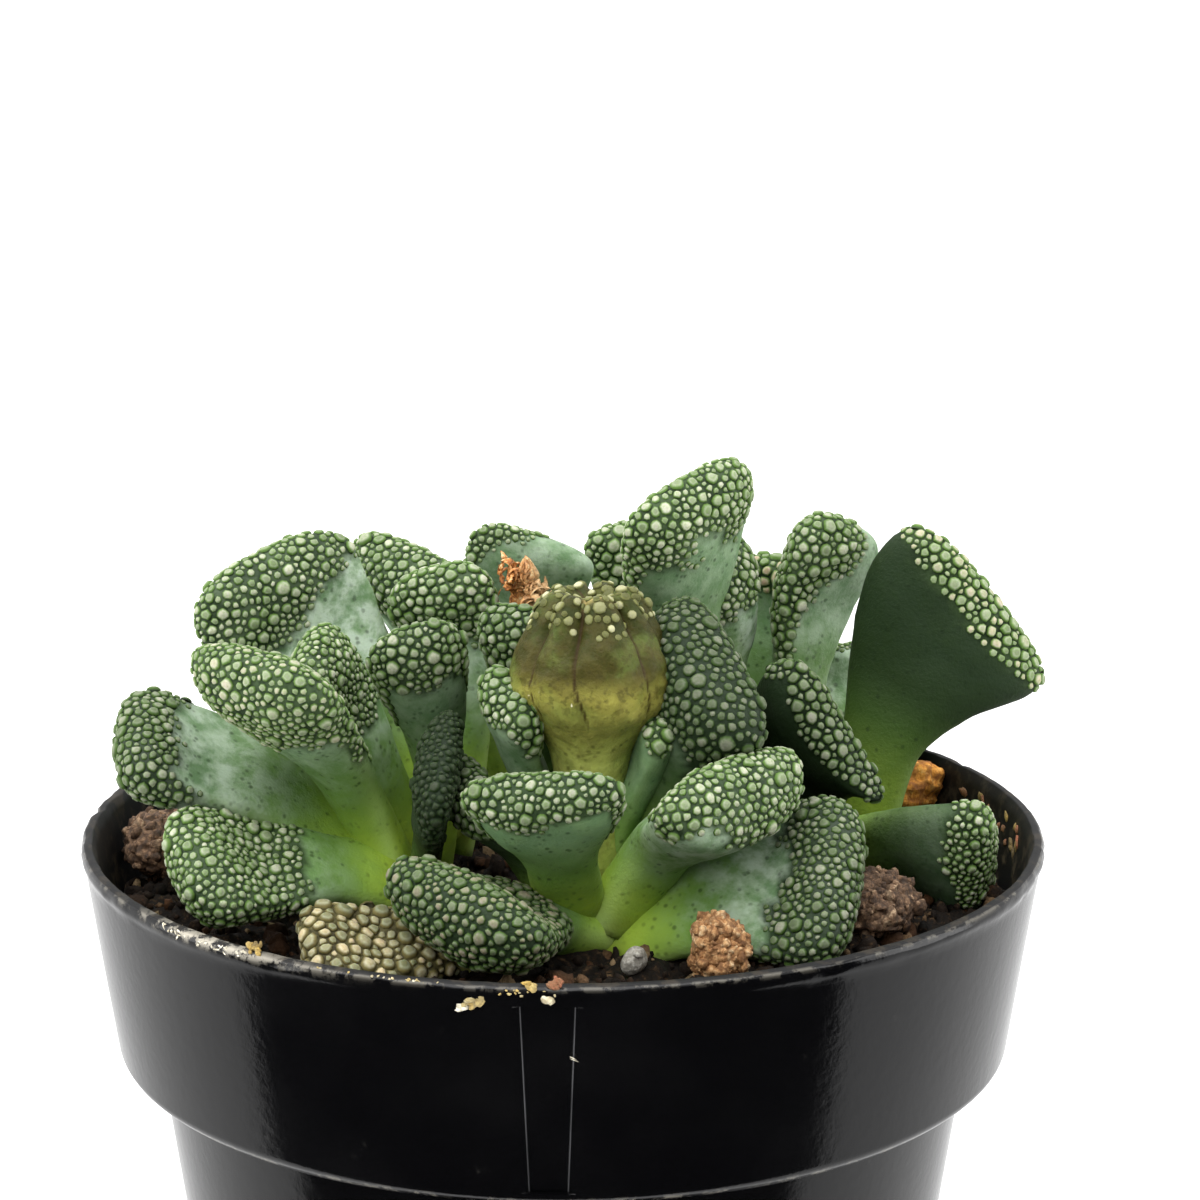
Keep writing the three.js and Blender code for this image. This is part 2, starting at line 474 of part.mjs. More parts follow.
function soilSolid(lift = 0) {
  const rings = [];
  const below = [[FLOOR + GAP, 0.0], [36.9, 0.0], [39.1, 0.0]].map(([z]) => z);
  for (const z of below) {
    const r = insideRadius(z + (z === 36.9 ? -0.2 : 0)) - GAP;
    rings.push(Array.from({ length: SOIL_SIDES * 2 }, (unused, j) => {
      const angle = Math.PI * j / SOIL_SIDES;
      return new THREE.Vector3(r * Math.cos(angle), r * Math.sin(angle), z);
    }));
  }
  const edge = insideRadius(SOIL_Z) - GAP - 0.1;
  for (let i = 0; i < SOIL_RINGS; i++) {
    const r = edge * (1 - i / SOIL_RINGS);
    rings.push(Array.from({ length: SOIL_SIDES * 2 }, (unused, j) => {
      const swing = i ? 0.7 * (hash(i, j, 3) - 0.5) : 0;
      const angle = Math.PI * (j + (i ? 0.5 * (hash(i, j, 8) - 0.5) : 0)) / SOIL_SIDES;
      const x = (r + swing) * Math.cos(angle);
      const y = (r + swing) * Math.sin(angle);
      const grain = i ? 0.7 * (hash(i, j, 31) - 0.5) : 0.2 * (hash(i, j, 31) - 0.5);
      return new THREE.Vector3(x, y, soilHeight(x, y) + grain + lift);
    }));
  }
  // Towards the middle the columns are twice as close as they need be, so they pair up.
  const points = [];
  const triangles = [];
  const first = [];
  rings.forEach((ring, i) => {
    const step = i > 2 + SOIL_RINGS * 0.55 ? 4 : 2;
    first.push({ at: points.length, step, count: ring.length / step });
    for (let j = 0; j < ring.length; j += step) points.push(ring[j]);
  });
  for (let i = 0; i + 1 < rings.length; i++) {
    const [lo, hi] = [first[i], first[i + 1]];
    for (let j = 0; j < hi.count; j++) {
      const next = (j + 1) % hi.count;
      if (lo.count === hi.count) {
        const [a, b] = [lo.at + j, lo.at + next];
        triangles.push([a, b, hi.at + next], [a, hi.at + next, hi.at + j]);
      } else {
        const a = lo.at + 2 * j;
        const b = a + 1;
        const c = lo.at + (2 * j + 2) % lo.count;
        triangles.push([a, b, hi.at + j], [b, hi.at + next, hi.at + j], [b, c, hi.at + next]);
      }
    }
  }
  const bottom = points.push(new THREE.Vector3(0, 0, FLOOR + GAP)) - 1;
  const top = points.push(new THREE.Vector3(0, 0, soilHeight(0, 0) + lift)) - 1;
  const [lo, hi] = [first[0], first[first.length - 1]];
  for (let j = 0; j < lo.count; j++) {
    triangles.push([lo.at + (j + 1) % lo.count, lo.at + j, bottom]);
  }
  for (let j = 0; j < hi.count; j++) {
    triangles.push([hi.at + j, hi.at + (j + 1) % hi.count, top]);
  }
  return solidFrom(points, triangles);
}

// Crown: the short stem that a rosette's leaves stand on, with its tap root in the soil

function crownSolid(crown, grow = 0) {
  const shape = [[0.0, 0.25], [0.35, 0.45], [0.72, 0.72], [0.9, 1], [1, 0.6]];
  const rings = shape.map(([t, share], i) => {
    const z = ROOT_TIP_Z + t * (CROWN_TOP - ROOT_TIP_Z) + (i === shape.length - 1 ? grow : 0);
    return Array.from({ length: 8 }, (unused, j) => {
      const angle = 2 * Math.PI * j / 8;
      const r = crown.radius * share * (grow ? 1.1 : 1 + 0.1 * Math.sin(3 * angle + i)) + grow;
      return new THREE.Vector3(crown.at[0] + r * Math.cos(angle),
        crown.at[1] + r * Math.sin(angle), z);
    });
  });
  return skinOfRings(rings, new THREE.Vector3(...crown.at, ROOT_TIP_Z - 1 - grow),
    new THREE.Vector3(...crown.at, CROWN_TOP + 0.4 + grow), null, 1);
}

// Loose bits on the soil: a chip of bark, clods and a flake of grit

function looseSolid(piece, grow = 0) {
  const geometry = new THREE.IcosahedronGeometry(1, piece.size[0] > 2.2 ? 2 : 1);
  const position = geometry.attributes.position;
  for (let i = 0; i < position.count; i++) {
    const v = new THREE.Vector3().fromBufferAttribute(position, i);
    const key = [Math.round(v.x * 50), Math.round(v.y * 50), Math.round(v.z * 50)];
    const rough = grow ? 1.12 : 0.84 + 0.28 * hash(key[0] + piece.seed, key[1], key[2]);
    v.multiplyScalar(rough);
    v.set(v.x * piece.size[0], v.y * piece.size[1], v.z * piece.size[2]);
    if (grow) v.addScaledVector(v.clone().normalize(), grow);
    v.applyAxisAngle(new THREE.Vector3(0.3, 0.2, 1).normalize(), piece.turn);
    position.setXYZ(i, v.x + piece.at[0], v.y + piece.at[1], v.z + piece.at[2]);
  }
  return solidFromGeometry(geometry);
}

// Assembly

const colour = {
  pot: 0x101112, soil: 0x2b1c12, bark: 0x9a5a1e, clod: 0x4a3421, tan: 0x8a6a48, grit: 0xa9a6a0,
  leaf: 0x6d8a6e, old: 0x9a9468, crown: 0x9fb45e, bud: 0x7a7a3e, withered: 0x8a5a34,
};
const plant = new THREE.Group();
const made = [];

function put(name, solid, tint, roughness) {
  const mesh = new THREE.Mesh(geometryFrom(solid), new THREE.MeshStandardMaterial({
    color: tint, roughness, metalness: 0,
  }));
  mesh.name = name;
  plant.add(mesh);
}

// Cuts a new piece clear of everything that was placed before it.
function clearOf(solid, keepOuts) {
  let out = solid;
  for (const keepOut of keepOuts) {
    if (boxesMeet(out, keepOut)) out = out.subtract(keepOut);
  }
  return largest(out);
}

const wall = wallKeepOut();
put('pot', potSolid(), colour.pot, 0.35);

put('flower_bud', budSolid(0), colour.bud, 0.55);
made.push(budSolid(GAP));

LEAVES.forEach((leaf, i) => {
  const solid = clearOf(leafSolid(leaf, i + 1, 0), [wall, ...made]);
  put(leaf.name, solid, leaf.name === 'old_leaf' ? colour.old : colour.leaf, 0.6);
  made.push(leafSolid(leaf, i + 1, GAP));
  if (leaf.name === 'centre_leaf_9') {
    put('withered_flower', clearOf(witheredSolid(0), [wall, ...made]), colour.withered, 0.9);
    made.push(witheredSolid(GAP));
  }
});

for (const crown of CROWNS) {
  put(crown.name, clearOf(crownSolid(crown), made), colour.crown, 0.6);
}

let soil = soilSolid();
for (const keepOut of [...made, ...CROWNS.map((crown) => crownSolid(crown, GAP))]) {
  if (boxesMeet(soil, keepOut)) soil = soil.subtract(keepOut);
}
put('soil', largest(soil), colour.soil, 0.95);

const overSoil = soilSolid(GAP);
const crownRoom = CROWNS.map((crown) => crownSolid(crown, GAP));
for (const piece of LOOSE) {
  const tint = { bark_chip: colour.bark, clod_front: colour.tan, grit_flake: colour.grit };
  put(piece.name, clearOf(looseSolid(piece), [wall, overSoil, ...made, ...crownRoom]),
    tint[piece.name] ?? colour.clod, 0.95);
  made.push(looseSolid(piece, GAP));
}

export default plant;
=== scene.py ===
# %% [markdown]
# # A potted concrete leaf, dressed for its portrait
#
# The object is a small succulent whose blunt leaves are paved with pale warts, in a black
# nursery pot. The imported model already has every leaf, the bud, the soil and the pot in
# their places as plain solids. This notebook keeps those places and forms, and makes each
# surface again, finer and with its real finish. All lengths are worked out in millimetres
# and turned into metres when a mesh is made.

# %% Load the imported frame
import math
import bpy
import numpy as np
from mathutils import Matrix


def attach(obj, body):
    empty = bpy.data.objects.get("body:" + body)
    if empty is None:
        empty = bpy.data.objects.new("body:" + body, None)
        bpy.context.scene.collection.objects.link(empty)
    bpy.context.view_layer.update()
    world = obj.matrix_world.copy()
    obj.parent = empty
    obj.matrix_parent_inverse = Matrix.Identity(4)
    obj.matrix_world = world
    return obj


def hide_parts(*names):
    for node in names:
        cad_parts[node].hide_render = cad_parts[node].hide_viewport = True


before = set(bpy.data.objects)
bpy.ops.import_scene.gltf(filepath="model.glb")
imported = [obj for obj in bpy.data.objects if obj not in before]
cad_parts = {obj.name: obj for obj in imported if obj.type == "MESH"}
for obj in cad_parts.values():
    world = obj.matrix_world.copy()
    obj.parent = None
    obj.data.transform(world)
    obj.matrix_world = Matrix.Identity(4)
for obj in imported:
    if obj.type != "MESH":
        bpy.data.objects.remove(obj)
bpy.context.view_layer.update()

print("nodes in the frame:", len(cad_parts))

# %% [markdown]
# ## The camera
#
# The photograph looks down on the plant by about fourteen degrees, from some twenty
# centimetres away, with a slightly long lens. The centre of the pot is a little left of
# the middle of the picture, which a small sideways shift of the lens gives without turning
# the camera.

# %% Camera
CAMERA_AT = (0.0, -0.2064, 0.11633)
CAMERA_PITCH = math.radians(13.57)
SENSOR_WIDTH = 36.0
LENS_LENGTH = 102.0
PICTURE_WIDTH = 1200
POT_CENTRE_COLUMN = 562.7

lens = bpy.data.cameras.new("portrait_lens")
lens.sensor_width = SENSOR_WIDTH
lens.lens = LENS_LENGTH
lens.shift_x = (PICTURE_WIDTH / 2 - POT_CENTRE_COLUMN) / PICTURE_WIDTH
lens.clip_start = 0.01
camera = bpy.data.objects.new("portrait_camera", lens)
camera.location = CAMERA_AT
camera.rotation_euler = (math.pi / 2 - CAMERA_PITCH, 0, 0)
bpy.context.scene.collection.objects.link(camera)
bpy.context.scene.camera = camera
print("camera at", CAMERA_AT, "looking down by", round(math.degrees(CAMERA_PITCH), 2), "degrees")

# %% [markdown]
# ## Arrays that become meshes
#
# Every new piece is a set of points and faces held in arrays, so the first helpers hand
# such arrays to Blender in one go. Numbers that belong to the points, such as how far up a
# leaf a point is, go along as attributes, and the materials read them later.

# %% From arrays to a mesh and a piece
MM = 0.001
made_triangles = []


def make_mesh(name, points, polygons, material):
    """A smooth mesh from points in millimetres and a list of face arrays (three or four
    columns of point numbers), and the number of its triangles."""
    mesh = bpy.data.meshes.new(name)
    corners = np.concatenate([faces.ravel() for faces in polygons]).astype(np.int32)
    sizes = np.concatenate([np.full(len(faces), faces.shape[1]) for faces in polygons])
    starts = (np.cumsum(sizes) - sizes).astype(np.int32)
    mesh.vertices.add(len(points))
    mesh.vertices.foreach_set("co", (np.asarray(points) * MM).astype(np.float32).ravel())
    mesh.loops.add(len(corners))
    mesh.loops.foreach_set("vertex_index", corners)
    mesh.polygons.add(len(sizes))
    mesh.polygons.foreach_set("loop_start", starts)
    mesh.update(calc_edges=True)
    mesh.polygons.foreach_set("use_smooth", np.ones(len(sizes), bool))
    mesh.materials.append(material)
    return mesh, int((sizes - 2).sum())


def make_piece(name, points, polygons, material, stands_for=(), slot="", **values):
    """A piece from arrays, which rides on the one body and hides the solids that it stands
    for. Each extra keyword is a number per point, kept as an attribute of that name."""
    mesh, triangles = make_mesh(name, points, polygons, material)
    for key, value in values.items():
        layer = mesh.attributes.new(key, "FLOAT", "POINT")
        layer.data.foreach_set("value", np.broadcast_to(value, len(points)).astype(np.float32))
    piece = bpy.data.objects.new(name, mesh)
    bpy.context.scene.collection.objects.link(piece)
    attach(piece, "root")
    if stands_for:
        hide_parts(*stands_for)
    made_triangles.append(triangles)
    return piece


# %% Faces of round grids
def grid_faces(rows, columns):
    """Four-cornered faces of a round grid of rows x columns points, counted row by row. The
    last column joins the first one."""
    i = np.arange(rows - 1)[:, None]
    j = np.arange(columns)[None, :]
    k = (j + 1) % columns
    quads = np.stack([i * columns + j, i * columns + k, (i + 1) * columns + k,
                      (i + 1) * columns + j], axis=-1)
    return quads.reshape(-1, 4)


def fan_faces(ring, centre, flip=False):
    """Triangles that close a ring of point numbers onto one centre point."""
    after = np.roll(ring, -1)
    middle = np.full(len(ring), centre)
    return np.stack([after, ring, middle] if flip else [ring, after, middle], axis=-1)


def closed_faces(rows, columns, start=0, turned_over=False):
    """Faces of a round grid whose ends close onto two more points, which come after the
    grid's own; start is the number of its first point. turned_over is for a grid whose
    rows run the other way round."""
    ring = np.arange(columns)
    beyond = rows * columns
    grid = grid_faces(rows, columns)
    return [(grid[:, ::-1] if turned_over else grid) + start,
            fan_faces(ring, beyond, flip=not turned_over) + start,
            fan_faces(beyond - columns + ring, beyond + 1, flip=turned_over) + start]


def repeated(faces, copies, each):
    """The same faces for many copies of a shape whose points follow each other, each of
    them `each` points long."""
    start = (np.arange(copies) * each)[:, None, None]
    return (faces[None] + start).reshape(-1, faces.shape[1])


def round_points(radius, angle, z, x=0.0, y=0.0):
    """Points at the radius and the angle round an upright axis through x and y, at height z;
    the arrays are spread over each other."""
    return np.stack(np.broadcast_arrays(x + radius * np.cos(angle), y + radius * np.sin(angle),
                                        z + 0 * angle), axis=-1)


print("a tube of 3 x 8 points has", sum(len(part) for part in closed_faces(3, 8)), "faces")

# %% [markdown]
# ## Noise and soft steps
#
# Nothing that grew is exact. A random value on each point of a coarse lattice, blended
# smoothly between the points, gives soft lumps of a chosen size. Several of these, each
# half the size and strength of the one before, give the broken surface of earth and bark.

# %% Helpers for soft steps and noise
def step_up(low, high, x):
    """0 below low, 1 above high, and a smooth S between them."""
    t = np.clip((x - low) / (high - low), 0, 1)
    return t * t * (3 - 2 * t)


def lattice_value(i, j, k, seed):
    """A fixed random value from 0 to 1 for each whole-number lattice point, by mixing the
    bits of its three numbers."""
    mixed = (i * 374761393 + j * 668265263 + k * 1442695041 + seed * 1274126177) & 0xFFFFFFFF
    mixed = ((mixed ^ (mixed >> 13)) * 1274126177) & 0xFFFFFFFF
    return (mixed ^ (mixed >> 16)) / 0xFFFFFFFF


def lumps(points, size, seed=0):
    """Smooth noise from -1 to 1 with lumps of about the given size in millimetres: the
    values at the eight lattice points around a place, weighted by an S-curve."""
    place = np.asarray(points, float) / size + 1000
    cell = np.floor(place).astype(np.int64)
    share = place - cell
    share = share * share * (3 - 2 * share)
    total = 0.0
    for a in (0, 1):
        for b in (0, 1):
            for c in (0, 1):
                weight = (np.abs(1 - a - share[..., 0]) * np.abs(1 - b - share[..., 1])
                          * np.abs(1 - c - share[..., 2]))
                total = total + weight * lattice_value(cell[..., 0] + a, cell[..., 1] + b,
                                                       cell[..., 2] + c, seed)
    return 2 * total - 1


def broken(points, size, octaves=4, seed=0, fall=0.5):
    """A sum of lumps, each octave half the size of the last and `fall` times as strong."""
    return sum(fall ** n * lumps(points, size / 2 ** n, seed + 7 * n) for n in range(octaves))


print("noise test, should be near 0:",
      round(float(lumps(np.random.default_rng(1).random((500, 3)) * 50, 3.0).mean()), 3))

# %% [markdown]
# ## Tools for finishes
#
# A material is a small net of nodes. The helpers below add one node each and join its
# inputs, so that the nets can be read as sentences. Two effects are wanted on several
# materials, the flecked, cloudy look of living skin and the grain of earth, so each is a
# node group.

# %% Adding and joining nodes
def join(tree, value, socket):
    """Links a node's output to the socket, or sets the socket where the value is plain."""
    if isinstance(value, bpy.types.NodeSocket):
        tree.links.new(value, socket)
    else:
        socket.default_value = value


def add_node(tree, kind, *inputs, named=None, **settings):
    """A node of the given kind. Inputs are joined or set in order, or by name from a
    dictionary; None leaves one as it is."""
    node = tree.nodes.new("ShaderNode" + kind)
    for key, value in settings.items():
        setattr(node, key, value)
    for number, value in enumerate(inputs):
        if value is not None:
            join(tree, value, node.inputs[number])
    for key, value in (named or {}).items():
        join(tree, value, node.inputs[key])
    return node


def sums(tree, operation, a, b=None):
    """One arithmetic node."""
    return add_node(tree, "Math", a, b, operation=operation).outputs[0]


def times(tree, a, b):
    """One value times the other."""
    return sums(tree, "MULTIPLY", a, b)


def between(tree, value, low, high, to_low=0.0, to_high=1.0):
    """The value taken from low..high to to_low..to_high along an S-curve."""
    return add_node(tree, "MapRange", value, low, high, to_low, to_high,
                    interpolation_type="SMOOTHSTEP").outputs[0]


def point_value(tree, name):
    """A number that the mesh carries on its points."""
    return add_node(tree, "Attribute", attribute_name=name).outputs["Fac"]


def object_place(tree):
    """The place on the piece in metres, for patterns that keep still on it."""
    return add_node(tree, "TexCoord").outputs["Object"]


def noise_at(tree, place, scale, detail=3.0, rough=0.55):
    """Soft random values, 0 to 1; scale is lumps per metre."""
    return add_node(tree, "TexNoise", named={"Vector": place, "Scale": scale, "Detail": detail,
                                             "Roughness": rough}).outputs["Fac"]


# %% Colours
def tone(red, green, blue):
    """A colour from its three screen values, 0 to 255, turned into linear light."""
    def linear(v):
        v = v / 255
        return v / 12.92 if v <= 0.04045 else ((v + 0.055) / 1.055) ** 2.4
    return (linear(red), linear(green), linear(blue), 1.0)


def colour_steps(tree, value, *stops):
    """A colour ramp through (place, colour) stops."""
    node = add_node(tree, "ValToRGB", value)
    ramp = node.color_ramp
    while len(ramp.elements) < len(stops):
        ramp.elements.new(0.5)
    for element, (place, colour) in zip(ramp.elements, stops):
        element.position = place
        element.color = colour
    return node.outputs[0]


def blend_colour(tree, share, first, second):
    """First and second colour mixed by the share."""
    node = add_node(tree, "Mix", data_type="RGBA")
    for number, value in ((0, share), (6, first), (7, second)):
        join(tree, value, node.inputs[number])
    return node.outputs[2]


def lay_over(tree, colour, *layers):
    """Lays tones over a colour, one after the other; each layer is its share and its tone."""
    for share, over in layers:
        colour = blend_colour(tree, share, colour, over)
    return colour


# %% Starting and closing a material
def start_material(name):
    """A material, and the tree of nodes to wire up in it."""
    material = bpy.data.materials.new(name)
    material.use_nodes = True
    return material, material.node_tree


def close_material(tree, colour, rough, height, relief, strength=1.0, specular=0.5):
    """Joins colour and roughness to the shader, and a height to its normal through a bump;
    relief is what a full step of the height stands for, in metres. Gives the shader."""
    shader = tree.nodes["Principled BSDF"]
    tree.links.new(colour, shader.inputs["Base Color"])
    tree.links.new(rough, shader.inputs["Roughness"])
    shader.inputs["Specular IOR Level"].default_value = specular
    bump = add_node(tree, "Bump", named={"Strength": strength, "Distance": relief,
                                         "Height": height})
    tree.links.new(bump.outputs[0], shader.inputs["Normal"])
    return shader


def let_light_in(shader, weight, reach, scale):
    """Subsurface scattering: its weight, how far red, green and blue reach, and the scale
    of that reach in metres."""
    shader.inputs["Subsurface Weight"].default_value = weight
    shader.inputs["Subsurface Radius"].default_value = reach
    shader.inputs["Subsurface Scale"].default_value = scale


print("white is", tone(255, 255, 255), "and a middle grey", tone(128, 128, 128)[0])

# %% Node groups
def new_group(name, inputs, outputs):
    """An empty node group with named number inputs and outputs."""
    group = bpy.data.node_groups.new(name, "ShaderNodeTree")
    for key, value in inputs.items():
        socket = group.interface.new_socket(key, in_out="INPUT", socket_type="NodeSocketFloat")
        socket.default_value = value
    for key in outputs:
        group.interface.new_socket(key, in_out="OUTPUT", socket_type="NodeSocketFloat")
    return (group, group.nodes.new("NodeGroupInput").outputs,
            group.nodes.new("NodeGroupOutput").inputs)


def place_group(tree, group, **values):
    """The group's node in a material, with its own input values."""
    node = tree.nodes.new("ShaderNodeGroup")
    node.node_tree = group
    for key, value in values.items():
        node.inputs[key.replace("_", " ")].default_value = value
    return node.outputs


# %% Living skin, as a group
# clouds, dots and the patches that keep their dots, and pores, all per metre
CLOUD_SCALE, DOT_SCALE, PATCH_SCALE, PORE_SCALE = 620.0, 1900.0, 900.0, 5200.0

fleck_group, fleck_in, fleck_out = new_group(
    "living_skin", {"Cloud Size": 1.0, "Dot Size": 1.0}, ("Clouds", "Dots", "Pores"))
place = object_place(fleck_group)
cloud_scale = sums(fleck_group, "DIVIDE", CLOUD_SCALE, fleck_in["Cloud Size"])
clouds = noise_at(fleck_group, place, cloud_scale, 4.0, 0.6)
fleck_group.links.new(between(fleck_group, clouds, 0.32, 0.68), fleck_out["Clouds"])
dot_scale = sums(fleck_group, "DIVIDE", DOT_SCALE, fleck_in["Dot Size"])
dots = add_node(fleck_group, "TexVoronoi", named={"Vector": place, "Scale": dot_scale},
                feature="F1").outputs["Distance"]
dot_keep = between(fleck_group, noise_at(fleck_group, place, PATCH_SCALE, 2.0), 0.42, 0.62)
dot = between(fleck_group, dots, 0.12, 0.42, 1.0, 0.0)
fleck_group.links.new(times(fleck_group, dot, dot_keep), fleck_out["Dots"])
fleck_group.links.new(noise_at(fleck_group, place, PORE_SCALE, 3.0, 0.6), fleck_out["Pores"])

# %% Earth grain, as a group
GRAIN_SCALE = 1500.0

grain_group, grain_in, grain_out = new_group("earth_grain", {"Grain Size": 1.0},
                                             ("Grain", "Pits", "Height"))
place = object_place(grain_group)
grain_scale = sums(grain_group, "DIVIDE", GRAIN_SCALE, grain_in["Grain Size"])
grain = noise_at(grain_group, place, grain_scale, 6.0, 0.68)
cells = add_node(grain_group, "TexVoronoi", named={"Vector": place, "Scale": grain_scale},
                 feature="F1").outputs["Distance"]
grain_group.links.new(between(grain_group, grain, 0.30, 0.70), grain_out["Grain"])
grain_group.links.new(between(grain_group, cells, 0.25, 0.75), grain_out["Pits"])
grain_height = sums(grain_group, "SUBTRACT", grain, times(grain_group, cells, 0.45))
grain_group.links.new(grain_height, grain_out["Height"])
print("groups:", [group.name for group in bpy.data.node_groups])

# %% [markdown]
# ## Leaf skin
#
# Up the stalk the skin goes from lime through leaf green to a cool blue-green, with a painted
# pale lime highlight along the edges low down, small dark dots and a cloudy pale bloom. A leaf
# that stands in the shade of others gets painted shade, a deep green that reaches further down
# the deeper the shade is, and painted shade darkens its warts too. The ground between the warts
# is painted nearly black where it stands in shade and a soft green where it stands in light. A
# wart is green at its foot and pale grey-green on top, some are pinkish or straw-coloured,
# and many have a paler ring and a greener middle. Light goes a little way into such fleshy
# leaves, so the shader has some subsurface scattering.

# %% Leaf skin material
# a painted highlight along the side edges of the stalk, low down
STALK_EDGE_HIGHLIGHT = tone(172, 200, 120)
PINK_WART = tone(172, 146, 126)
PALE_RING = tone(196, 204, 180)


def leaf_skin(name, foot, stalk, low, high, powder, bed, lit_bed, wart_tones):
    """A leaf material from its tones: foot, stalk, lower and upper skin, bloom, the ground
    between warts in shade and in light, and four wart tops from common to rare."""
    material, tree = start_material(name)
    along, wart, paved, tint, share, blush, bloom, dark, dim, ridge_highlight = (
        point_value(tree, key) for key in
        ("along", "wart", "paved", "tint", "share", "blush", "bloom", "dark", "dim", "ridge_highlight"))
    skin = place_group(tree, fleck_group, Cloud_Size=1.0, Dot_Size=1.0)

    powdery = times(tree, times(tree, bloom, skin["Clouds"]), between(tree, along, 0.25, 0.75))
    dotted = times(tree, skin["Dots"], between(tree, along, 0.05, 0.4, 0.15, 0.6))
    # dark paints shade on the skin; above 0.9 the painted shade reaches down to the foot
    foot_shade = between(tree, dark, 0.9, 1.35, 0.0, 0.38)
    shaded = times(tree, dark, between(tree, along, 0.15, 0.6, foot_shade, 0.72))
    smooth = colour_steps(tree, along, (0.02, foot), (0.16, stalk), (0.42, low), (0.72, high))
    smooth = lay_over(tree, smooth, (between(tree, skin["Clouds"], 0, 1, 0.0, 0.30), low),
                      (powdery, powder), (times(tree, ridge_highlight, 0.5), STALK_EDGE_HIGHLIGHT),
                      (dotted, bed), (shaded, bed))

    # painted light on the ground between the warts, less of it where dim paints shade
    lit = times(tree, between(tree, skin["Clouds"], 0.15, 0.8, 0.15, 0.85),
                between(tree, dim, 1.2, 0.0))
    ground = blend_colour(tree, lit, bed, lit_bed)

    pinkish = times(tree, times(tree, blush, between(tree, tint, 0.45, 0.9)), 0.7)
    ring = times(tree, between(tree, share, 0.35, 0.62), between(tree, wart, 0.5, 0.8))
    top = lay_over(tree, colour_steps(tree, tint, *wart_tones), (pinkish, PINK_WART),
                   (times(tree, ring, 0.22), PALE_RING),
                   (between(tree, skin["Pores"], 0.35, 0.75, 0.0, 0.45), low))
    flank = blend_colour(tree, between(tree, wart, 0.10, 0.55, 0.0, 0.55), ground, low)
    # dim paints shade over the warts
    cap = lay_over(tree, flank, (between(tree, wart, 0.50, 0.98), top),
                   (times(tree, dim, 0.42), bed))

    colour = lay_over(tree, smooth, (times(tree, paved, 0.92), ground),
                      (between(tree, wart, 0.01, 0.08), cap))
    rough = between(tree, skin["Pores"], 0.2, 0.8, 0.52, 0.74)
    height = sums(tree, "ADD", skin["Pores"], times(tree, skin["Clouds"], 0.6))
    shader = close_material(tree, colour, rough, height, 0.00006, 0.8, specular=0.2)
    let_light_in(shader, 0.14, (0.7, 1.0, 0.3), 0.0006)
    return material


# %% A green skin and an old one
green_skin = leaf_skin(
    "leaf_skin_green", foot=tone(104, 116, 40), stalk=tone(146, 172, 58),
    low=tone(104, 140, 60), high=tone(104, 136, 94), powder=tone(180, 198, 176),
    bed=tone(18, 32, 12), lit_bed=tone(56, 74, 42),
    wart_tones=((0.0, tone(102, 114, 84)), (0.35, tone(127, 136, 109)),
                (0.7, tone(150, 156, 134)), (0.95, tone(182, 184, 166))))
old_skin = leaf_skin(
    "leaf_skin_old", foot=tone(100, 86, 44), stalk=tone(128, 112, 56),
    low=tone(124, 112, 66), high=tone(132, 120, 74), powder=tone(150, 140, 96),
    bed=tone(38, 36, 20), lit_bed=tone(82, 78, 48),
    wart_tones=((0.0, tone(100, 106, 76)), (0.4, tone(132, 132, 102)),
                (0.7, tone(160, 154, 122)), (0.95, tone(200, 182, 144))))
print("leaf skins:", green_skin.name, old_skin.name)

# %% [markdown]
# ## The leaves, one row each
#
# The rosettes hold thirty-six leaves, and one old, yellowing leaf lies against the rim.
# Each row repeats the numbers that its solid was made from: where the leaf is rooted, a
# point that pulls the stalk into a curve, the blunt tip, the way the upper side looks, the
# width of the fan, its thickness, the stalk's share of the width, how blunt the end is and
# where the stalk starts to widen.

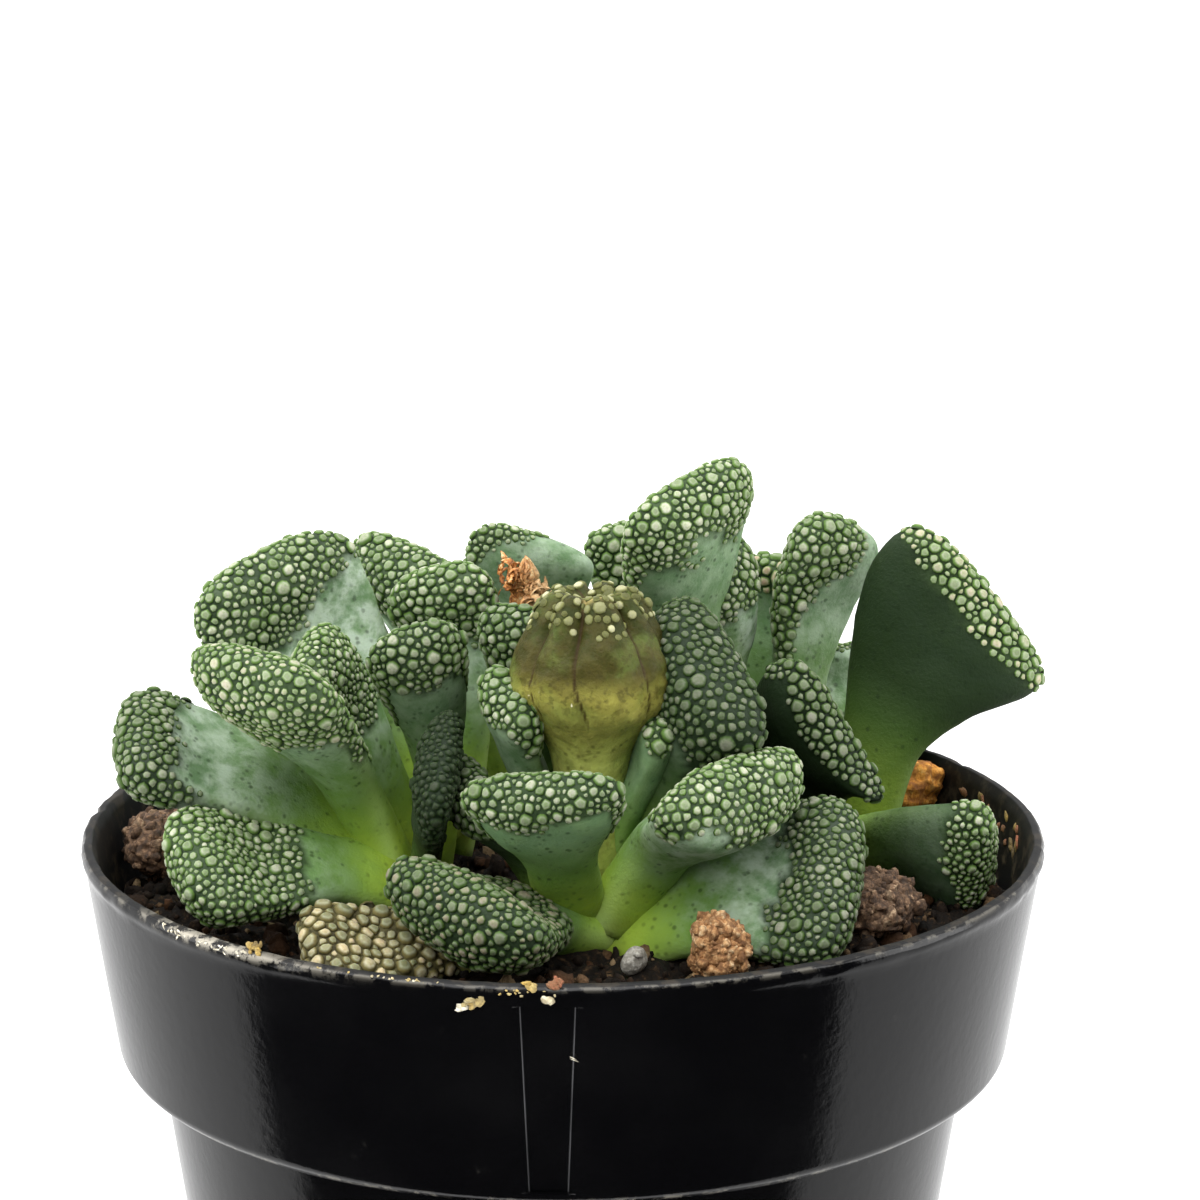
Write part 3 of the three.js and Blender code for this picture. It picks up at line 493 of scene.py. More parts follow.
# %% Leaf table
# name, then x y z of root, mid, tip and face, then width, thick, neck, blunt, flare
LEAF_TABLE = """
left_leaf_1      -10   -3   49  -13.9   -3   59  -18.8  -13 65.6    0.1 -0.05    1   9.9 4.5  0.5   3 0.25
left_leaf_2      -10   -5 49.5    -14   -7 51.8    -23  -13 53.4    0.1 -0.55 0.85   8.5 4.4  0.6   3 0.35
centre_leaf_1      2   -8 47.8   -1.5  -10 49.2   -6.7  -19 52.9   0.35   0.1    1    11   5 0.45   3  0.3
centre_leaf_2    0.5   -9   49      0  -13 54.5   -1.6  -17 59.8  -0.06  0.25    1   9.6 3.3 0.45   3 0.35
centre_leaf_3    2.5   -8 48.2    6.2   -8   55     11  -14 58.6  -0.25   0.1    1  11.4 5.4 0.45   3 0.35
centre_leaf_4    2.5   -8   47    8.5   -9   51   17.7  -12 52.2   -0.1  -0.6  0.8  11.6   5  0.6   3  0.2
left_leaf_3      -11   -2 49.5  -17.5   -4   57  -27.2   -6 59.4   0.35 -0.35 0.85     9 4.4  0.8   3 0.35
left_leaf_4     -9.5    1   49  -14.7    2 58.8    -19    2 69.1    0.3 -0.85 0.45  11.6 4.4 0.88 2.6  0.2
right_leaf_1      19  5.5 48.5   20.4    6   60   27.4    6 65.7    0.6   0.6  0.5  13.5 3.6 0.42   3 0.28
right_leaf_2      18  3.5   49     22    0 50.3   27.2 -1.5 49.4      0  0.75  0.6  12.2 4.6 0.55   3  0.1
right_leaf_3    15.5  3.5 48.5   13.6 -1.8 57.6     17 -5.2 59.8   0.35   0.9  0.1  10.6 3.3  0.6   3 0.35
back_leaf_1        8  7.5 48.5    7.3  7.5   64    7.9    0   74   -0.5   0.3  0.7    10   4  0.5   3 0.35
left_leaf_5     -8.5   -4 49.5   -8.1   -7 53.4     -7  -11   60    0.9  -0.2  0.2   8.6 2.7  0.5   3 0.35
left_leaf_6     -7.5  3.5   49   -5.2    6   59   -8.3    3 67.6  -0.25  -0.9 0.35   6.8   4  0.5   3 0.35
centre_leaf_5    2.5   -5 48.2      6   -4   58    9.8   -8   65    0.9   0.2 0.32    12 5.6  0.5   3 0.35
left_leaf_7     -8.5    1 48.5   -7.1    1 57.5   -9.4   -6 65.9  -0.35   0.2    1   5.9 3.2  0.5   3 0.35
back_leaf_2     -0.5 11.5 48.5   -8.2   13   60  -10.4    7   68   0.25     0    1   9.8 4.6  0.5   3 0.35
right_leaf_4      17  7.5 48.5   13.6    9   60   18.6    9 69.5    0.6 -0.75  0.2   6.8   4 0.48   3 0.35
left_leaf_8      -10   -1   49  -11.5   -1   57  -15.6   -4 64.6    0.3  -0.5  0.8   6.4 3.2 0.75   3  0.3
centre_leaf_6    0.5   -4 48.2   -1.4   -4   56   -3.4   -9 63.2    0.3  -0.3  0.9   5.8 2.9  0.5   3 0.35
centre_leaf_7      2   -7 48.2    3.5   -7 55.5    5.9 -8.6 61.5  -0.85  -0.2  0.3   4.8 2.5  0.5   3 0.35
centre_leaf_8    0.5   -6   48   -2.6   -6 53.4     -6   -9 57.2    0.6   0.1  0.7   8.6 3.4  0.5   3 0.35
centre_leaf_9      1   -2 48.2   -1.4    0 57.5   -3.3   -2 66.5    0.1   0.3    1   4.8   3  0.5   3 0.35
back_leaf_3      0.5   11   49   -4.4   13 60.4   -1.6   12 67.9    0.2  -0.9 0.35   8.6 3.6  0.6 3.6  0.3
back_leaf_4      9.5   10 48.5   10.5   11   60    9.7    7   68   -0.2  -0.3  0.8   6.6 4.4  0.5   3 0.35
back_leaf_5      5.5   13 48.5    4.9 17.5   61    3.6   17 67.5      0  -0.6  0.6   4.5   3  0.6   3 0.35
back_leaf_6     11.5   12 48.5     14   14   60   13.7   13 66.2   -0.2  -0.5  0.8   4.6 3.2  0.6   3 0.35
right_leaf_5    18.5    9   49     19   13   56   18.4   14   60      0  -0.7  0.7     4 2.4  0.6   3 0.35
old_leaf          -4  -11 47.2   -7.5  -14   49  -15.1  -17 49.5   0.05 -0.45  0.9   6.8 3.2 0.65   3  0.3
left_leaf_9      -10    2 48.5    -12    9   56    -17   17   58    0.3  -0.6  0.8   9.5 4.4  0.5   3 0.35
left_leaf_10   -11.5    1 48.5    -18    6   51    -24   11   51    0.3  -0.2    1   8.5 4.2  0.5   3 0.35
back_leaf_7        3 12.5 48.5     -1   17   56     -5   24   58    0.2  -0.6  0.8     9 4.4  0.5   3 0.35
back_leaf_8      6.5 13.5 48.5      8   19   56      9 25.5   56   -0.1  -0.5  0.9    10 4.6  0.5   3 0.35
right_leaf_6      18    9 48.5     18   16   53   19.5 21.5   54   -0.1  -0.6  0.8   8.5 4.2  0.5   3 0.35
right_leaf_7      20  8.5 48.5     21 12.5   52   22.5   19 54.5   -0.4  -0.5  0.7   6.5 3.6  0.5   3 0.35
back_leaf_9      4.5    9   49      3    8   54      1  5.5 58.5    0.3   0.6  0.7   6.5 3.6  0.5   3 0.35
back_leaf_10      -1   12 48.5     -9   13   52    -14   22   52    0.3  -0.5  0.8   6.5 3.6  0.5   3 0.35
"""
LEAVES = []
for row in LEAF_TABLE.strip().splitlines():
    name, *numbers = row.split()
    ways = np.array(numbers[:12], float).reshape(4, 3)
    sizes = np.array(numbers[12:], float)
    LEAVES.append(dict(zip(("root", "mid", "tip", "face"), ways), name=name)
                  | dict(zip(("width", "thick", "neck", "blunt", "flare"), sizes)))
print(len(LEAVES), "leaves")

# %% [markdown]
# ## The form of one leaf
#
# A leaf is a section carried along a bent centre line. The section is a cushion: nearly
# flat above, keeled below, blunt at the sides. It widens from stalk to fan, and over the
# last seventh of the length it is drawn in along a rounded square, so the end is blunt and
# not pointed. Real leaves are also a little lumpy, which low, wide noise gives them.

# %% Leaf surface
CAP_START = 0.86


def bent_line(root, mid, tip, s):
    """Centre and direction at the shares s of a curve that leaves root towards mid and
    comes to tip from mid: the three points weighted by (1-s)(1-s), 2s(1-s) and s·s."""
    s = np.asarray(s, float)[..., None]
    centre = (1 - s) ** 2 * root + 2 * s * (1 - s) * mid + s ** 2 * tip
    along = 2 * (1 - s) * (mid - root) + 2 * s * (tip - mid)
    return centre, along / np.linalg.norm(along, axis=-1, keepdims=True)


def leaf_axes(leaf, s):
    """Centre, direction along, direction up and sideways at the shares s. Up is the leaf's
    face less its part along the line, and sideways is square to both."""
    centre, along = bent_line(leaf["root"], leaf["mid"], leaf["tip"], s)
    up = leaf["face"] - (along @ leaf["face"])[:, None] * along
    up /= np.linalg.norm(up, axis=1, keepdims=True)
    return centre, along, up, np.cross(along, up)


def leaf_section(leaf, s):
    """Half width, height above and depth below the centre line, and the upper side's dish,
    at the shares s. Over the end cap the width falls as a rounded square, and the
    thickness as a slightly squared circle."""
    q = np.clip((s - CAP_START) / (1 - CAP_START), 0, 1)
    wide = (1 - q ** leaf["blunt"]) ** (1 / leaf["blunt"])
    deep = (1 - q ** 2.2) ** (1 / 2.2)
    spread = leaf["neck"] + (1 - leaf["neck"]) * step_up(leaf["flare"], 0.9, s)
    half = leaf["width"] / 2 * spread * wide
    depth = leaf["thick"] * (0.72 + 0.28 * step_up(0.4, 0.85, s)) * deep
    dish = 0.22 * leaf["thick"] * np.exp(-((s - 0.72) / 0.13) ** 2) * deep
    return half, 0.40 * depth, 0.60 * depth, dish


def leaf_surface(leaf, s, angle, seed):
    """Points of the leaf at every pair of s and angle. Sideways they lie at half the width
    times a flattened cosine, and up or down at the section's height times a rounded sine,
    less the dish above. Wide, low noise is added outwards from the centre line."""
    centre, along, up, side = leaf_axes(leaf, s)
    half, above, below, dish = (part[:, None] for part in leaf_section(leaf, s))
    c, n = np.cos(angle)[None, :], np.sin(angle)[None, :]
    rise = np.clip(n, 0, 1)
    fall = np.clip(-n, 0, 1)
    across = half * np.sign(c) * np.abs(c) ** 0.85
    lift = above * rise ** 0.8 - dish * rise ** 1.5 - below * fall ** 1.15
    points = (centre[:, None] + side[:, None] * across[..., None] + up[:, None] * lift[..., None])
    outward = side[:, None] * (across / (half + 0.3))[..., None] + up[:, None] * (
        np.sign(n) * np.abs(n))[..., None]
    bumpy = 0.16 * lumps(points, 2.6, seed) + 0.07 * lumps(points, 1.1, seed + 3)
    fade = step_up(0.05, 0.4, s)[:, None] * np.clip(half / 1.5, 0, 1)
    return points + outward * (bumpy * fade)[..., None]


# %% [markdown]
# ## Where warts grow
#
# The end of each leaf is paved with warts, and the stalk is smooth. On the upper side the
# paving starts soonest in the middle of the fan, it runs further down the edges, and on
# the underside there is only a band near the end. The border is ragged, so noise shifts
# it. A few leaves differ, and the next table says how: `top`, `edge` and `under` are the
# shares of the length where the paving starts on each side, `lean` puts it off on one
# side, `ragged` is how far the noise shifts it, `size` scales the warts, and `gap` is how
# far apart they stand. For the colours, `blush` turns warts towards pink, `bloom` is the pale
# powder on the skin, `dark` is painted shade on the skin of leaves in the shade of others,
# and `dim` is painted shade on the warts, which follow `dark` where no `dim` is given.

# %% Wart borders and leaf moods
USUAL = {"top": 0.60, "edge": 0.60, "under": 0.80, "lean": 0.0, "size": 1.0, "blush": 0.15,
         "bloom": 0.4, "dark": 0.15, "ragged": 1.0, "gap": 0.92}
MOODS = {
    "left_leaf_1": {"top": 0.50, "edge": 0.54, "under": 0.72, "blush": 0.5},
    "left_leaf_2": {"top": 0.55, "edge": 0.55, "under": 0.75, "bloom": 0.6, "dark": 0.05},
    "left_leaf_3": {"top": 0.83, "edge": 0.75, "under": 0.80, "bloom": 0.9, "dark": 0.45,
                    "dim": 1.0},
    "left_leaf_4": {"top": 0.75, "edge": 0.72, "lean": 0.17, "bloom": 1.3},
    "left_leaf_5": {"top": 0.5, "dark": 1.3, "dim": 2.2, "size": 0.85},
    "left_leaf_6": {"top": 0.72, "edge": 0.74, "bloom": 0.8, "dark": 0.0},
    "left_leaf_7": {"top": 0.84, "edge": 0.66, "under": 0.84, "dark": 0.3, "dim": 0.7},
    "left_leaf_8": {"top": 0.62, "edge": 0.62, "size": 0.9, "bloom": 0.8, "dark": 0.0},
    "centre_leaf_1": {"top": 0.46, "edge": 0.46, "under": 0.70, "blush": 0.9, "size": 1.05,
                      "dark": 0.45, "dim": 1.0},
    "centre_leaf_2": {"top": 0.5, "edge": 0.56, "under": 0.84, "size": 0.95, "dark": 0.0,
                      "dim": 0.6, "bloom": 0.1},
    "centre_leaf_3": {"top": 0.55, "edge": 0.60, "under": 0.84, "lean": 0.18, "bloom": 0.7},
    "centre_leaf_4": {"top": 0.73, "edge": 0.66, "bloom": 1.0, "dark": 0.3, "dim": 1.1},
    "centre_leaf_5": {"top": 0.45, "edge": 0.5, "under": 0.72, "size": 1.05, "dark": 0.9,
                      "dim": 1.6, "gap": 1.04},
    "centre_leaf_6": {"top": 0.74, "edge": 0.82, "under": 0.93, "dark": 0.4},
    "centre_leaf_7": {"top": 0.91, "edge": 0.90, "under": 0.93, "bloom": 0.2},
    "centre_leaf_8": {"dark": 1.1},
    "centre_leaf_9": {"dark": 0.8},
    "back_leaf_1": {"top": 0.72, "edge": 0.74, "under": 0.84, "dark": 0.1, "dim": 0.0},
    "back_leaf_2": {"top": 0.64, "edge": 0.66, "bloom": 0.8},
    "back_leaf_3": {"top": 1.04, "edge": 0.89, "under": 0.92, "lean": 0.24, "bloom": 0.7,
                    "size": 0.8, "dark": 0.4, "dim": 0.2},
    "back_leaf_4": {"top": 0.76, "edge": 0.78, "under": 0.84, "bloom": 1.0, "dark": 0.0},
    "back_leaf_6": {"top": 0.8, "edge": 0.8, "under": 0.85, "blush": 5.0, "dark": 0.0},
    "right_leaf_1": {"top": 0.875, "edge": 0.89, "under": 0.875, "lean": 0.03, "blush": 0.8,
                     "dark": 1.3, "dim": 0.0, "bloom": 0.0, "size": 1.1, "ragged": 0.4},
    "right_leaf_2": {"top": 0.78, "edge": 0.82, "under": 0.80, "dark": 1.0, "dim": 0.1,
                     "size": 0.85},
    "right_leaf_3": {"top": 0.62, "edge": 0.82, "under": 0.9, "dark": 1.35, "dim": 1.2},
    "right_leaf_4": {"top": 0.86, "edge": 0.86, "lean": 0.33, "bloom": 0.6, "dark": 0.3},
    "right_leaf_5": {"top": 0.97, "edge": 0.97, "bloom": 1.2, "size": 0.8, "dark": 0.0},
    "old_leaf": {"top": 0.42, "edge": 0.4, "under": 0.5, "blush": 0.1, "size": 1.3, "dark": 0.0},
}


def paving(mood, s, angle, points, seed):
    """How densely warts stand, 0 to 1, and how far inside the border a place is, in shares
    of the length. The border on top, edge and underside is blended by the height n of the
    angle, leans to one side by the cosine, and is shifted by noise."""
    n = np.sin(angle)
    border = (mood["edge"] + (mood["top"] - mood["edge"]) * step_up(0.15, 0.7, n)
              + (mood["under"] - mood["edge"]) * step_up(0.15, 0.7, -n)
              + mood["lean"] * np.cos(angle))
    noise = 0.05 * lumps(points, 2.2, seed + 40) + 0.03 * lumps(points, 0.8, seed + 41)
    border = border + mood["ragged"] * noise
    inside = s - border
    return step_up(-0.015, 0.02, inside), inside


# %% [markdown]
# ## Setting out the warts
#
# The warts differ from a tenth of a millimetre to nearly one, and they fill the surface
# like cobbles. The big ones are set first, each at a random place that keeps clear of
# those already there, then smaller and smaller ones fill the room that is left.

# %% Random places on a surface
def scatter_places(points, rows, columns, weight, count, random):
    """Random places on a grid of points, more of them where the face is large and its
    weight high. Gives the face's row and column, the place and the outward normal."""
    grid = points.reshape(rows, columns, 3)
    ring = np.concatenate([grid, grid[:, :1]], axis=1)
    a, b = ring[:-1, :-1], ring[:-1, 1:]
    d, c = ring[1:, :-1], ring[1:, 1:]
    normal = np.cross(c - a, d - b)
    area = np.linalg.norm(normal, axis=-1) / 2
    chance = (area * weight).ravel()
    pick = random.choice(chance.size, count, p=chance / chance.sum())
    i, j = np.unravel_index(pick, area.shape)
    u, v = random.random((2, count, 1))
    place = ((1 - u) * (1 - v) * a[i, j] + u * (1 - v) * b[i, j]
             + (1 - u) * v * d[i, j] + u * v * c[i, j])
    out = normal[i, j] / np.maximum(area[i, j, None] * 2, 1e-9)
    return i, j, place, out


# %% The warts among them
# one column for each size of wart: its radius in mm, the share of places that may carry
# it, and how many of it there may be
WART_RADII = (0.46, 0.38, 0.32, 0.26, 0.21, 0.17)
WART_CHANCE = (0.04, 0.10, 0.30, 0.8, 1.0, 1.0)
WART_LIMIT = (8, 22, 80, 190, 230, 150)


def set_warts(place, largest, random, spacing):
    """Chooses places and radii, largest first. A place is free for a wart when it is
    further from every wart than `spacing` times the two radii together. largest is the
    biggest radius that each place may carry."""
    chosen, radii = [], []
    order = random.random(len(place))
    room = np.full(len(place), 9.0)
    for radius, chance, limit in zip(WART_RADII, WART_CHANCE, WART_LIMIT):
        able = (largest >= radius) & (order < chance if chance < 1 else True)
        for turn in range(limit):
            free = np.flatnonzero(able & (room > radius * spacing))
            if not len(free):
                break
            pick = free[np.argmin(order[free])]
            able[pick] = False
            size = radius * (0.88 + 0.24 * random.random())
            gap = np.linalg.norm(place - place[pick], axis=1) - size * spacing
            room = np.minimum(room, gap)
            chosen.append(pick)
            radii.append(size)
    return np.array(chosen, int), np.array(radii)


# %% [markdown]
# ## The shape of a wart
#
# Seen close, a wart is a low dome with a flattish top. Where warts crowd, each is pressed
# into a cobble by its neighbours, with a narrow dark joint between. So the rim of a wart
# runs at its own radius, or at the line half way to a neighbour where that is nearer.

# %% The rim of each wart
JOINT = 0.07
NEIGHBOURS = 10


def wart_rims(centre, radius, everyone, every_radius, spoke, east, north):
    """Rim radius along each spoke of each wart: the smaller of 1.24 times its own radius
    and, for each near neighbour, the distance to the line that divides the two, less half
    a joint, divided by the cosine of the angle to it."""
    rim = np.broadcast_to(radius[:, None] * 1.24, spoke.shape[:2]).copy()
    near = min(NEIGHBOURS, len(everyone) - 1)
    if near < 2:
        return rim
    apart = np.linalg.norm(centre[:, None] - everyone[None], axis=2)
    order = np.argsort(apart, axis=1)[:, 1:near + 1]
    for other in order.T:
        gap = everyone[other] - centre
        flat = np.stack([(gap * east).sum(1), (gap * north).sum(1)], axis=-1)
        reach = np.linalg.norm(gap, axis=1)
        divide = (reach ** 2 + radius ** 2 - every_radius[other] ** 2) / (2 * reach) - JOINT / 2
        toward = (spoke * (flat / np.maximum(reach, 1e-6)[:, None])[:, None]).sum(-1)
        limit = np.where(toward > 0.2, divide[:, None] / np.maximum(toward, 0.2), 99.0)
        rim = np.minimum(rim, np.maximum(limit, 0.35 * radius[:, None]))
    return rim


# %% Domes on a surface
# one row for each ring of a dome: share of the rim radius, share of the height, and the
# mark that tells the material how far up the wart it is
LARGE_DOME = ((1.0, -0.12, 0.0), (0.92, 0.50, 0.55), (0.60, 0.90, 0.92))
SMALL_DOME = ((1.0, -0.12, 0.0), (0.72, 0.78, 0.80))


def wart_domes(everyone, everyone_out, every_radius, only, sides, random, levels=LARGE_DOME,
               height=0.68):
    """Points, faces and per-point values of the domes that `only` marks. Round each wart
    stands a ring of points for each level, and a top point closes the dome."""
    centre, out, radius = everyone[only], everyone_out[only], every_radius[only]
    count = len(centre)
    if not count:
        return None
    pole = np.where(np.abs(out[:, 2:3]) < 0.8, [[0.0, 0.0, 1.0]], [[1.0, 0.0, 0.0]])
    east = np.cross(pole, out)
    east /= np.linalg.norm(east, axis=1, keepdims=True)
    north = np.cross(out, east)
    turn = 2 * np.pi * (np.arange(sides)[None, :] + random.random((count, 1))) / sides
    spoke = np.stack([np.cos(turn), np.sin(turn)], axis=-1)
    rim = wart_rims(centre, radius, everyone, every_radius, spoke, east, north)
    rim = rim * (1 + 0.05 * (random.random(rim.shape) - 0.5))
    tall = (height * radius * (0.8 + 0.4 * random.random(count)))[:, None]
    lean = (random.random((count, 1)) - 0.5) * 0.12
    rings = []
    for part, rise, _ in levels:
        flat = spoke * (rim * part)[..., None]
        lift = tall * rise * (1 + lean * spoke[..., 0]) + (0.0 if rise > 0 else -0.03)
        rings.append(centre[:, None] + flat[..., :1] * east[:, None]
                     + flat[..., 1:] * north[:, None] + lift[..., None] * out[:, None])
    top = centre + out * tall * 0.98
    points = np.concatenate([np.stack(rings, axis=1).reshape(count, -1, 3), top[:, None]], axis=1)
    part, _, mark = np.repeat(levels, sides, axis=0).T
    dome = np.tile(np.append(mark, 1.0), count)
    share = np.tile(np.append(part, 0.0), count)
    each = points.shape[1]
    crown = fan_faces((len(levels) - 1) * sides + np.arange(sides), each - 1)
    return (points.reshape(-1, 3), repeated(grid_faces(len(levels), sides), count, each),
            repeated(crown, count, each), dome, share, each)


# %% Where a leaf is in the way
def inside_leaf(leaf, points, margin):
    """True where a point lies inside a leaf: nearest of 40 stations on the centre line,
    then the sideways and upward parts of the offset against the section there."""
    s = np.linspace(0, 1, 40)
    centre, along, up, side = leaf_axes(leaf, s)
    nearest = np.argmin(np.linalg.norm(points[:, None] - centre[None], axis=2), axis=1)
    offset = points - centre[nearest]
    half, above, below, dish = (part[nearest] for part in leaf_section(leaf, s))
    c = np.abs((offset * side[nearest]).sum(1)) / np.maximum(half + margin, 1e-3)
    lift = (offset * up[nearest]).sum(1)
    n = np.sqrt(np.clip(1 - np.clip(c, 0, 1) ** 2.35, 0, 1))
    high = above * n ** 0.8 - dish * n ** 1.5 + margin
    low = -below * n ** 1.15 - margin
    beyond = np.abs((offset * along[nearest]).sum(1)) > 0.6 + margin
    return (c < 1) & (lift < high) & (lift > low) & ~beyond & (half > 0.05)


# %% [markdown]
# ## Growing all the leaves
#
# Each leaf is one piece: its skin and its warts in one mesh. Warts that would grow inside
# a neighbouring leaf or below the soil are left out, since two leaves that press on each
# other carry none there.

# %% Room for warts
SOIL_LINE = 47.2
NEAR_TIPS = 26.0
CLEAR_OF_LEAF = 0.05


def has_room(leaf, place):
    """True where a place is above the soil and outside every leaf near by."""
    free = place[:, 2] > SOIL_LINE
    for other in LEAVES:
        near = np.linalg.norm(other["tip"] - leaf["tip"]) < NEAR_TIPS
        if near and other is not leaf:
            free &= ~inside_leaf(other, place, CLEAR_OF_LEAF)
    return free


# %% Make the leaves
CAP_ANGLES = np.radians(np.linspace(0, 88.5, 15))
SKIN_ROWS = np.concatenate([np.linspace(0, CAP_START, 29)[:-1],
                            CAP_START + (1 - CAP_START) * np.sin(CAP_ANGLES) ** (2 / 3)])
SKIN_COLUMNS = 46
WART_PLACES = 5200
LARGEST_WART = 0.62
BIG_WART = 0.30
POINT_VALUES = ("along", "paved", "wart", "tint", "share", "ridge_highlight")


def grow_leaf(number, leaf):
    """Skin first, as a grid closed by a point at each end; then places for warts where the
    paving is, with smaller ones near its border; then the domes."""
    random = np.random.default_rng(100 + number)
    mood = {**USUAL, **MOODS.get(leaf["name"], {})}
    angle = -2 * np.pi * np.arange(SKIN_COLUMNS) / SKIN_COLUMNS
    skin = leaf_surface(leaf, SKIN_ROWS, angle, number)
    rows = len(SKIN_ROWS)
    end = skin[-1].mean(0) * 0.5 + leaf["tip"] * 0.5
    skin = skin.reshape(-1, 3)
    s, around = (part.ravel() for part in np.meshgrid(SKIN_ROWS, angle, indexing="ij"))
    paved, inside = paving(mood, s, around, skin, number)
    # where the painted edge highlight lies: the side edges of the leaf, strongest low on the stalk
    ridge_highlight = np.abs(np.cos(around)) ** 14 * (1 - s)
    blocks = [{"points": np.concatenate([skin, [leaf["root"], end]]), "wart": 0.0,
               "along": np.append(s, [0, 1]), "paved": np.append(paved, [0, 1]), "tint": 0.5,
               "share": 1.0, "ridge_highlight": np.append(ridge_highlight, [0, 0])}]
    polygons = closed_faces(rows, SKIN_COLUMNS)

    weight = paved.reshape(rows, -1)[:-1] ** 2
    i, j, place, out = scatter_places(skin, rows, SKIN_COLUMNS, weight, WART_PLACES, random)
    keep = has_room(leaf, place)
    i, j, place, out = i[keep], j[keep], place[keep], out[keep]
    depth_in = inside.reshape(rows, -1)[i, j]
    size = mood["size"]
    largest = LARGEST_WART * size * (0.34 + 0.66 * step_up(0.0, 0.08, depth_in))
    chosen, radii = set_warts(place / size, largest / size, random, mood["gap"])
    radii = radii * size
    tint = random.random(len(chosen))

    start = len(blocks[0]["points"])
    big = radii > BIG_WART
    for only, sides, levels in ((big, 10, LARGE_DOME), (~big, 7, SMALL_DOME)):
        made = wart_domes(place[chosen], out[chosen], radii, only, sides, random, levels)
        if made is None:
            continue
        points, quads, tips, dome, share, each = made
        polygons += [quads + start, tips + start]
        start += len(points)
        blocks.append({"points": points, "along": np.repeat(SKIN_ROWS[i[chosen][only]], each),
                       "paved": 1.0, "wart": dome, "tint": np.repeat(tint[only], each),
                       "share": share, "ridge_highlight": 0.0})

    values = {key: np.concatenate([np.broadcast_to(block[key], len(block["points"]))
                                   for block in blocks]) for key in POINT_VALUES}
    old = leaf["name"] == "old_leaf"
    # dark and dim carry each leaf's painted shade to the material
    make_piece("fine_" + leaf["name"], np.concatenate([block["points"] for block in blocks]),
               polygons, old_skin if old else green_skin, [leaf["name"]],
               "old_leaf_skin" if old else "leaf_skin",
               blush=mood["blush"], bloom=mood["bloom"], dark=mood["dark"],
               dim=mood.get("dim", mood["dark"]), **values)
    return len(chosen)


wart_counts = [grow_leaf(number, leaf) for number, leaf in enumerate(LEAVES, start=1)]
print("warts on each leaf:", wart_counts)
print("warts in all:", sum(wart_counts), "- triangles so far:", sum(made_triangles))

# %% [markdown]
# ## The flower bud
#
# In the middle of the centre rosette a bud stands on a thick stalk. Its calyx is a closed
# purse of eight fleshy lobes. It is yellow-green below and a dark olive brown above, with
# thin brown seams that run together at the top, and pale warts crowded on the tips of the
# lobes. Between the tips a little of the straw-coloured heart shows.

# %% Bud shape
BUD_AT = np.array([1.7, -7.0])
BUD_LOBES = 8
# height and radius up the stalk and over the calyx
BUD_LINE = np.array([[46.5, 2.1], [52, 2.1], [57, 2.2], [59.2, 2.7], [60.5, 3.5], [61.7, 4.4],
                     [63.2, 4.95], [64.8, 4.65], [66.6, 3.8], [67.8, 2.9], [68.4, 1.9],
                     [68.2, 1.2], [67.8, 0.5]])


def smooth_line(knots, count):
    """A soft curve through the knots (rows of numbers), at evenly spaced shares of its
    length: the cubic that leaves each knot along the line between its neighbours."""
    knots = np.asarray(knots, float)
    step = np.linalg.norm(np.diff(knots, axis=0), axis=1)
    at = np.concatenate([[0], np.cumsum(step)])
    slope = np.gradient(knots, at, axis=0)
    t = np.linspace(0, at[-1], count)
    k = np.clip(np.searchsorted(at, t, side="right") - 1, 0, len(step) - 1)
    span = step[k][:, None]
    x = ((t - at[k]) / step[k])[:, None]
    return ((2 * x ** 3 - 3 * x ** 2 + 1) * knots[k] + (x ** 3 - 2 * x ** 2 + x) * span * slope[k]
            + (3 * x ** 2 - 2 * x ** 3) * knots[k + 1] + (x ** 3 - x ** 2) * span * slope[k + 1])


def bud_surface(rows, angle):
    """The line turned round the bud's axis. Each lobe swells in its middle, more so at the
    top, where its tip stands up as a knob. A narrow seam is pressed in where two lobes
    meet, deeper towards the top; the seams wind a little, the lobes differ in width, and
    noise makes them uneven."""
    line = smooth_line(BUD_LINE, rows)
    z, radius = line[:, :1], line[:, 1:]
    calyx = step_up(59.5, 62.5, z)
    high = step_up(64.5, 68.2, z)
    wind = 0.05 * np.sin(z * 0.9) + 0.02 * (z - 62) + 0.10 * np.sin(3 * angle[None, :] + 0.8)
    wave = np.abs(np.sin(BUD_LOBES / 2 * (angle[None, :] + wind + 0.03)))
    swell = (0.05 + 0.14 * high) * (wave ** 0.8 - 0.6)
    seam = np.exp(-(wave * 2 / BUD_LOBES * radius / 0.17) ** 2)
    r = radius * (1 + calyx * swell) - calyx * seam * (0.10 + 0.25 * high)
    around = np.broadcast_to(angle[None, :], r.shape)
    knob = 0.4 * wave * step_up(66.8, 68.2, z) * step_up(0.4, 1.6, radius)
    points = np.stack([BUD_AT[0] + r * np.cos(around), BUD_AT[1] + r * np.sin(around),
                       z + knob], axis=-1)
    bumpy = 0.18 * lumps(points, 1.5, 61) * calyx + 0.10 * lumps(points, 0.6, 62) * calyx
    out = np.stack([np.cos(around), np.sin(around), 0.6 * step_up(63, 67, z) + 0 * r], axis=-1)
    return points + out * bumpy[..., None], seam * calyx


